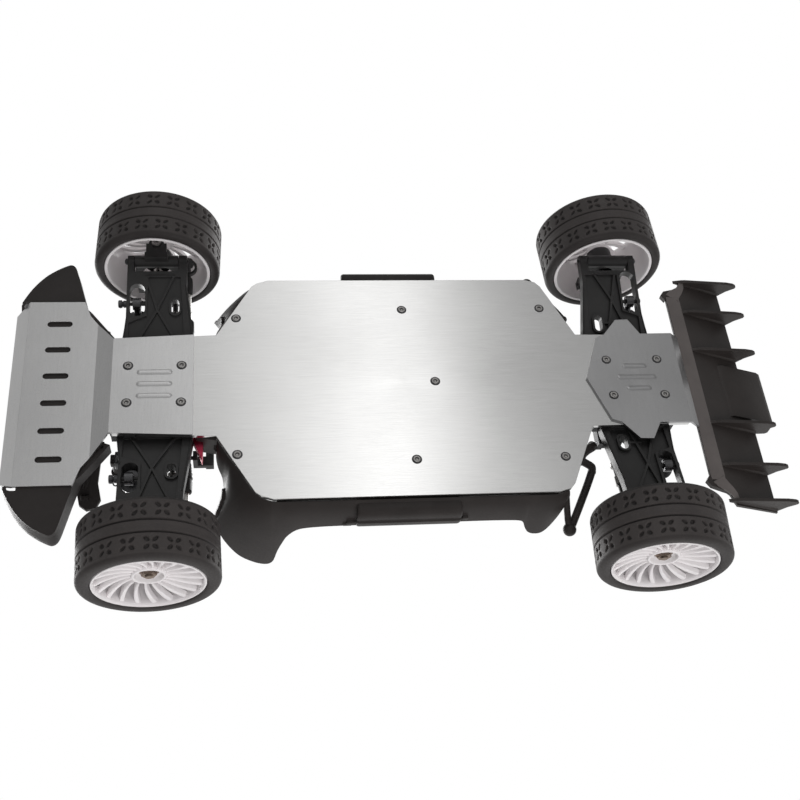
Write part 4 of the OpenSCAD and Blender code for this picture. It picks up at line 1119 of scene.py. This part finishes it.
for i, w_ in enumerate(("wire_black", "wire_blue", "wire_yellow")):
    yb = -36 + i * 7
    pts = [(-97.5, yb, 76 - abs(i - 1) * 1.6), (-105.5, yb - 1, 79), (-106, yb - 9, 86), (-94, -60 + i * 2.5, 90), (-66, -66 + i * 3.6, 90), (-30, -67 + i * 4.4, 86), (4, -64 + i * 5.6, 76), (22, -61 + i * 8, 66), (34.5, -59 + i * 9, 60)]
    make(f"motor_lead_{i}", *tube_geo(pts, 1.8, 12), M[w_], "chassis", slot="motor_metal")
    q_ = Vector((-48, -67 + i * 4.0, 88.6))
    make(f"motor_plug_{i}", *rod_geo(q_ - Vector((9, 0.2, -0.6)), q_ + Vector((9, -0.2, -0.8)), 2.5, 20, 0.5), M["gold" if i == 1 else "wire_black"], "chassis", slot="motor_metal")

# gearboxes: case halves, ribs and screws
for front in (True, False):
    q = 1 if front else -1
    x0 = 196 if front else -177
    gx = lambda u: x0 + q * u
    gb = []
    for u in (-22, -14, -6, 2, 10, 17):
        a_, b_ = sorted((gx(u), gx(u + 2.2)))
        gb += both([box_geo((a_, 21.8, 46), (b_, 24.2, 60 if abs(u + 2) < 14 else 78), 0.5)])
    a_, b_ = sorted((gx(-27.2), gx(23.2)))
    gb.append(box_geo((a_, -23.0, 66.5), (b_, 23.0, 68.6), 0.7))
    gb += both([lathe_at([(16.7, 0), (20.6, 0), (21.0, 0.5), (21.0, 2.2), (20.0, 3.2), (16.7, 3.4)], (x0, 22.2, 64), (0, 1, 0), 40)])
    name_ = "front" if front else "rear"
    make(f"{name_}_case_ribs", *join_geo(gb), M["case"], "chassis", auto=35, slot="case_plastic")
    sc = []
    for u in (-22.5, 18.5):
        for y in (-18.5, 18.5):
            sc.append(screw_geo((gx(u), y, 83.9), (0, 0, 1), 2.4, 1.8, 1.2))
    for u in (-20, 16):
        sc.append(screw_geo((gx(u), -8, 88.9), (0, 0, 1), 2.0, 1.5, 1.0))
        sc.append(screw_geo((gx(u), 8, 88.9), (0, 0, 1), 2.0, 1.5, 1.0))
    # tower screws, both sides of the plate
    for y, z in ((14, 76), (-14, 76), (14, 66), (-14, 66)):
        sc.append(screw_geo((gx(28.0), y, z), (q, 0, 0), 2.3, 1.8, 1.2))
    for y in (-50, 50):
        sc.append(turn([(3.4, 0), (3.6, 0.3), (3.6, 2.6), (3.2, 3.0)], (gx(28.0), y, 118), (q, 0, 0), 6))
    make(f"{name_}_case_screws", *join_geo(sc), M["screw"], "chassis", auto=30, slot="steel")
    # post carriers on the tower
    pc = both([box_geo((min(gx(28.1), gx(33.6)), 22.6, 101.5), (max(gx(28.1), gx(33.6)), 33.4, 112.5), 0.9)])
    make(f"{name_}_post_carriers", *join_geo(pc), M["tower"], "chassis", auto=35, slot="tower_composite")

# centre: cover screws and mount ribs
cm = [box_geo((-41.0, y, 46), (-39.6, y + 1.8, 92), 0.4) for y in (-6, 8, 22)] + [box_geo((-16.2, y, 46), (-14.4, y + 1.8, 92), 0.4) for y in (-24, -8, 8, 22)]
cm += [box_geo((-40.6, -30.6, 91.8), (-15.4, 30.6, 95.2), 1.4, 3)]
for x in (-72, 26):
    cm += both([box_geo((x - 4.4, 8.6, 44.7), (x + 4.4, 14.6, 49.6), 0.8)])
make("spur_cover_ribs", *join_geo(cm), M["case"], "chassis", auto=35, slot="case_plastic")
sc = both([screw_geo((-28, 22, 95.1), (0, 0, 1), 2.2, 1.6, 1.1)]) + both([screw_geo((x, 11.8, 49.4), (0, 0, 1), 2.0, 1.5, 1.0) for x in (-72, 26)])
sc += [screw_geo((-44.1, -29 + 12.5 * cos(rad(a_)), 64 + 12.5 * sin(rad(a_))), (-1, 0, 0), 2.0, 0.05 + 1.2, 1.0) for a_ in ()]
make("centre_screws", *join_geo(sc), M["screw"], "chassis", auto=30, slot="steel")

# servo: lid seams and horn
sv = [box_geo((95.6, 13.6, 78), (136.4, 34.4, 79.2), 0.4), box_geo((95.6, 13.6, 56), (136.4, 34.4, 57.2), 0.4), turn([(6.4, 0), (6.8, 0.4), (6.8, 1.6), (6.0, 2.0)], (112, 24, 82), (0, 0, 1), 32), turn([(5.4, 0), (5.6, 0.4), (5.6, 3.6), (5.0, 4.0)], (112, 24, 84), (0, 0, 1), 28)]
sv += [loft([[(112 + dx, y, z) for dx, y in ((-4.2, 24), (-3.0, 10), (-1.6, 6.4), (1.6, 6.4), (3.0, 10), (4.2, 24))] for z in (84.1, 84.4, 87.0, 87.4)])]
make("servo_case", *join_geo(sv), M["case"], "chassis", auto=35, slot="case_plastic")
make("servo_screws", *join_geo([screw_geo((x, y, 73.0), (0, 0, 1), 2.2, 1.6, 1.1) for x in (93, 139) for y in (18.5, 29.5)] + [screw_geo((112, 24, 88.0), (0, 0, 1), 2.6, 1.8, 1.2), screw_geo((112, 9.6, 87.4), (0, 0, 1), 1.9, 1.6, 1.0)]), M["screw"], "chassis", auto=30, slot="steel")
for i, w_ in enumerate(("wire_black", "wire_red", "wire_yellow")):
    make(f"servo_lead_{i}", *tube_geo([(97, 20 + i * 1.7, 60), (90, 18 + i * 1.7, 56), (84, 8 + i * 1.7, 50), (84, -10 + i * 1.7, 47.4 + 0.0), (60, -14 + i * 1.7 - 12, 46.6 + 14), (30, -20 + i * 1.7, 60), (20, -40 + i * 1.7, 63.4)] if False else [(97, 20 + i * 1.7, 60), (90, 16 + i * 1.7, 58), (86, 8 + i * 1.7, 60), (78, 6 + i * 1.7, 62), (50, 5 + i * 1.7, 63), (34, -6 + i * 1.7, 66), (20, -36 + i * 1.7, 66), (16, -46 + i * 1.7, 62.4)], 0.8, 8), M[w_], "chassis", slot="case_plastic")
# receiver and antenna
rx = [box_geo((-12.6, -70.6, 60.5), (24.6, -43.4, 63.4), 1.2, 3), turn([(2.2, 0), (2.4, 0.4), (2.4, 6), (1.6, 6.6), (1.4, 7), (1.3, 78), (1.1, 80)], (-8, -66.5, 63.2), (0, 0, 1), 20)]
make("receiver_lid", *join_geo(rx), M["case"], "chassis", auto=35, slot="case_plastic")

# upper links: steel turnbuckle hexes, riding on each link
for fr in ("front", "rear"):
    front = fr == "front"
    for sd, s_ in (("left", 1), ("right", -1)):
        x = 196 - 13 if front else -177 + 13
        a0 = Vector((x, s_ * 34, 85))
        d = Vector((0, s_ * CO, -SI))
        g = [turn([(3.2, 0), (3.5, 0.3), (3.5, 7.7), (3.2, 8)], a0 + d * 36, d, 6), turn([(3.3, 0), (3.8, 0.6), (3.8, 3.4), (3.3, 4)], a0 + d * 22, d, 24), turn([(3.3, 0), (3.8, 0.6), (3.8, 3.4), (3.3, 4)], a0 + d * 54, d, 24)]
        make(f"{fr}_{sd}_link_hex", *join_geo(g), M["screw"], f"{fr}_{sd}_link", auto=30, slot="steel")


# ------------------------------------------------------------------ light
world = bpy.data.worlds.new("studio")
bpy.context.scene.world = world
world.use_nodes = True
wn = world.node_tree
wn.nodes.clear()
wout = wn.nodes.new("ShaderNodeOutputWorld")
bg_cam = wn.nodes.new("ShaderNodeBackground")
bg_cam.inputs[0].default_value = (1, 1, 1, 1)
bg_cam.inputs[1].default_value = 1.0
bg_lit = wn.nodes.new("ShaderNodeBackground")
lp = wn.nodes.new("ShaderNodeLightPath")
mx = wn.nodes.new("ShaderNodeMixShader")
wn.links.new(lp.outputs["Is Camera Ray"], mx.inputs[0])
wn.links.new(bg_lit.outputs[0], mx.inputs[1])
wn.links.new(bg_cam.outputs[0], mx.inputs[2])
wn.links.new(mx.outputs[0], wout.inputs[0])
tc = wn.nodes.new("ShaderNodeTexCoord")


def spot(direction, width, gain):
    """A soft bright patch of sky towards a direction."""
    d = Vector(direction).normalized()
    dp = wn.nodes.new("ShaderNodeVectorMath")
    dp.operation = "DOT_PRODUCT"
    dp.inputs[1].default_value = tuple(d)
    wn.links.new(tc.outputs["Generated"], dp.inputs[0])
    r = wn.nodes.new("ShaderNodeMapRange")
    r.interpolation_type = "SMOOTHSTEP"
    r.inputs["From Min"].default_value = cos(rad(width))
    r.inputs["From Max"].default_value = 1.0
    r.inputs["To Min"].default_value = 0
    r.inputs["To Max"].default_value = gain
    wn.links.new(dp.outputs["Value"], r.inputs["Value"])
    return r.outputs["Result"]


def add(a, b):
    n = wn.nodes.new("ShaderNodeMath")
    n.operation = "ADD"
    for i, v in enumerate((a, b)):
        if isinstance(v, (int, float)):
            n.inputs[i].default_value = v
        else:
            wn.links.new(v, n.inputs[i])
    return n.outputs[0]


def wmath(op, a, b=None):
    n = wn.nodes.new("ShaderNodeMath")
    n.operation = op
    for i, v in enumerate((a, b)):
        if v is None:
            continue
        if isinstance(v, (int, float)):
            n.inputs[i].default_value = v
        else:
            wn.links.new(v, n.inputs[i])
    return n.outputs[0]


def wrange(v, a, b, c, d, smooth=False):
    r = wn.nodes.new("ShaderNodeMapRange")
    if smooth:
        r.interpolation_type = "SMOOTHSTEP"
    for k, x in (("From Min", a), ("From Max", b), ("To Min", c), ("To Max", d)):
        r.inputs[k].default_value = x
    wn.links.new(v, r.inputs["Value"])
    return r.outputs["Result"]


# the sheet metal mirrors the studio below: a bright strip with grey to either side of it
sep = wn.nodes.new("ShaderNodeSeparateXYZ")
wn.links.new(tc.outputs["Generated"], sep.inputs[0])
azim = add(wmath("ARCTAN2", sep.outputs[1], sep.outputs[0]), wmath("MULTIPLY", add(sep.outputs[2], 0.83), 1.1))
LO, HI = rad(60), rad(140)
ramp = wn.nodes.new("ShaderNodeValToRGB")
stops = ((60, 0.30), (73, 0.36), (81, 0.44), (86, 0.60), (90, 0.76), (94, 0.90), (98, 1.14), (101, 1.34), (104, 1.42), (106, 1.28), (108.5, 0.90), (111, 0.62), (113.5, 0.48), (117, 0.47), (120, 0.42), (124, 0.40), (140, 0.32))
el = ramp.color_ramp.elements
while len(el) > 1:
    el.remove(el[-1])
for i, (deg, v) in enumerate(stops):
    e = el[0] if i == 0 else el.new((rad(deg) - LO) / (HI - LO))
    e.position = (rad(deg) - LO) / (HI - LO)
    e.color = (v / 1.5, v / 1.5, v / 1.5, 1)
wn.links.new(wrange(azim, LO, HI, 0, 1), ramp.inputs["Fac"])
strip = wmath("MULTIPLY", ramp.outputs["Color"], 1.5)
strip = wmath("MULTIPLY", strip, wrange(sep.outputs[2], -0.74, -0.89, 0.84, 1.22))
wide = wrange(sep.outputs[2], -0.1, 0.5, 0.34, 0.8, True)
az0 = wmath("ARCTAN2", sep.outputs[1], sep.outputs[0])
gap = wmath("MAXIMUM", wrange(az0, rad(-88), rad(-68), 1.0, 0.1), wrange(az0, rad(-20), rad(8), 0.1, 1.0))
gap = wmath("MAXIMUM", gap, wrange(sep.outputs[2], 0.42, 0.62, 0.0, 1.0))
wide = wmath("MULTIPLY", wide, gap)
keep = wrange(sep.outputs[2], -0.60, -0.42, 1.0, 0.0, True)
level = add(wmath("MULTIPLY", strip, keep), wmath("MULTIPLY", wide, wmath("SUBTRACT", 1.0, keep)))
wn.links.new(level, bg_lit.inputs[1])
bg_lit.inputs[0].default_value = (1, 0.997, 0.993, 1)


def area(name, loc, target, size, power, size_y=None, spread=180, glossy=True):
    ld = bpy.data.lights.new(name, "AREA")
    ld.energy = power
    ld.shape = "RECTANGLE"
    ld.size = size
    ld.size_y = size_y or size
    ld.spread = rad(spread)
    o = bpy.data.objects.new(name, ld)
    bpy.context.scene.collection.objects.link(o)
    o.location = loc
    d = Vector(target) - Vector(loc)
    o.rotation_euler = d.to_track_quat("-Z", "Y").to_euler()
    o.visible_camera = False
    o.visible_glossy = glossy
    return o


area("key_below", (-0.35, -1.25, -0.75), (0, -0.08, 0.05), 1.0, 11.5, glossy=False)
area("near_side", (0.75, -1.2, -0.1), (0.05, -0.1, 0.05), 0.8, 3, glossy=False)
area("key_above", (0.8, 0.5, 1.4), (0, 0, 0.05), 0.9, 14)
area("rim_above", (-0.9, 0.8, 1.0), (0, 0, 0.05), 0.8, 8)

# pale floor, seen from above only, so the underside stays in view from below
fm = NT("floor_paint")
fn1 = fm.noise(3.0, 4)
fcol = fm.mix(fm.maprange(fn1, 0.3, 0.7, 0, 1), [0.86, 0.86, 0.855], [0.82, 0.82, 0.815])
fm.set(Base_Color=fcol, Roughness=0.6)
fg = fm.node("ShaderNodeNewGeometry")
ftr = fm.node("ShaderNodeBsdfTransparent")
fmx = fm.node("ShaderNodeMixShader")
fm.link(fg.outputs["Backfacing"], fmx.inputs[0])
fm.link(fm.bsdf.outputs[0], fmx.inputs[1])
fm.link(ftr.outputs[0], fmx.inputs[2])
fm.link(fmx.outputs[0], fm.out.inputs["Surface"])
fme = bpy.data.meshes.new("studio_floor")
fme.from_pydata([(-14, -14, -0.0002), (14, -14, -0.0002), (14, 14, -0.0002), (-14, 14, -0.0002)], [], [(0, 1, 2, 3)])
fme.materials.append(fm.mat)
floor = bpy.data.objects.new("studio_floor", fme)
bpy.context.scene.collection.objects.link(floor)
floor.visible_shadow = False
floor.visible_diffuse = False
floor.visible_glossy = False
floor.visible_transmission = False
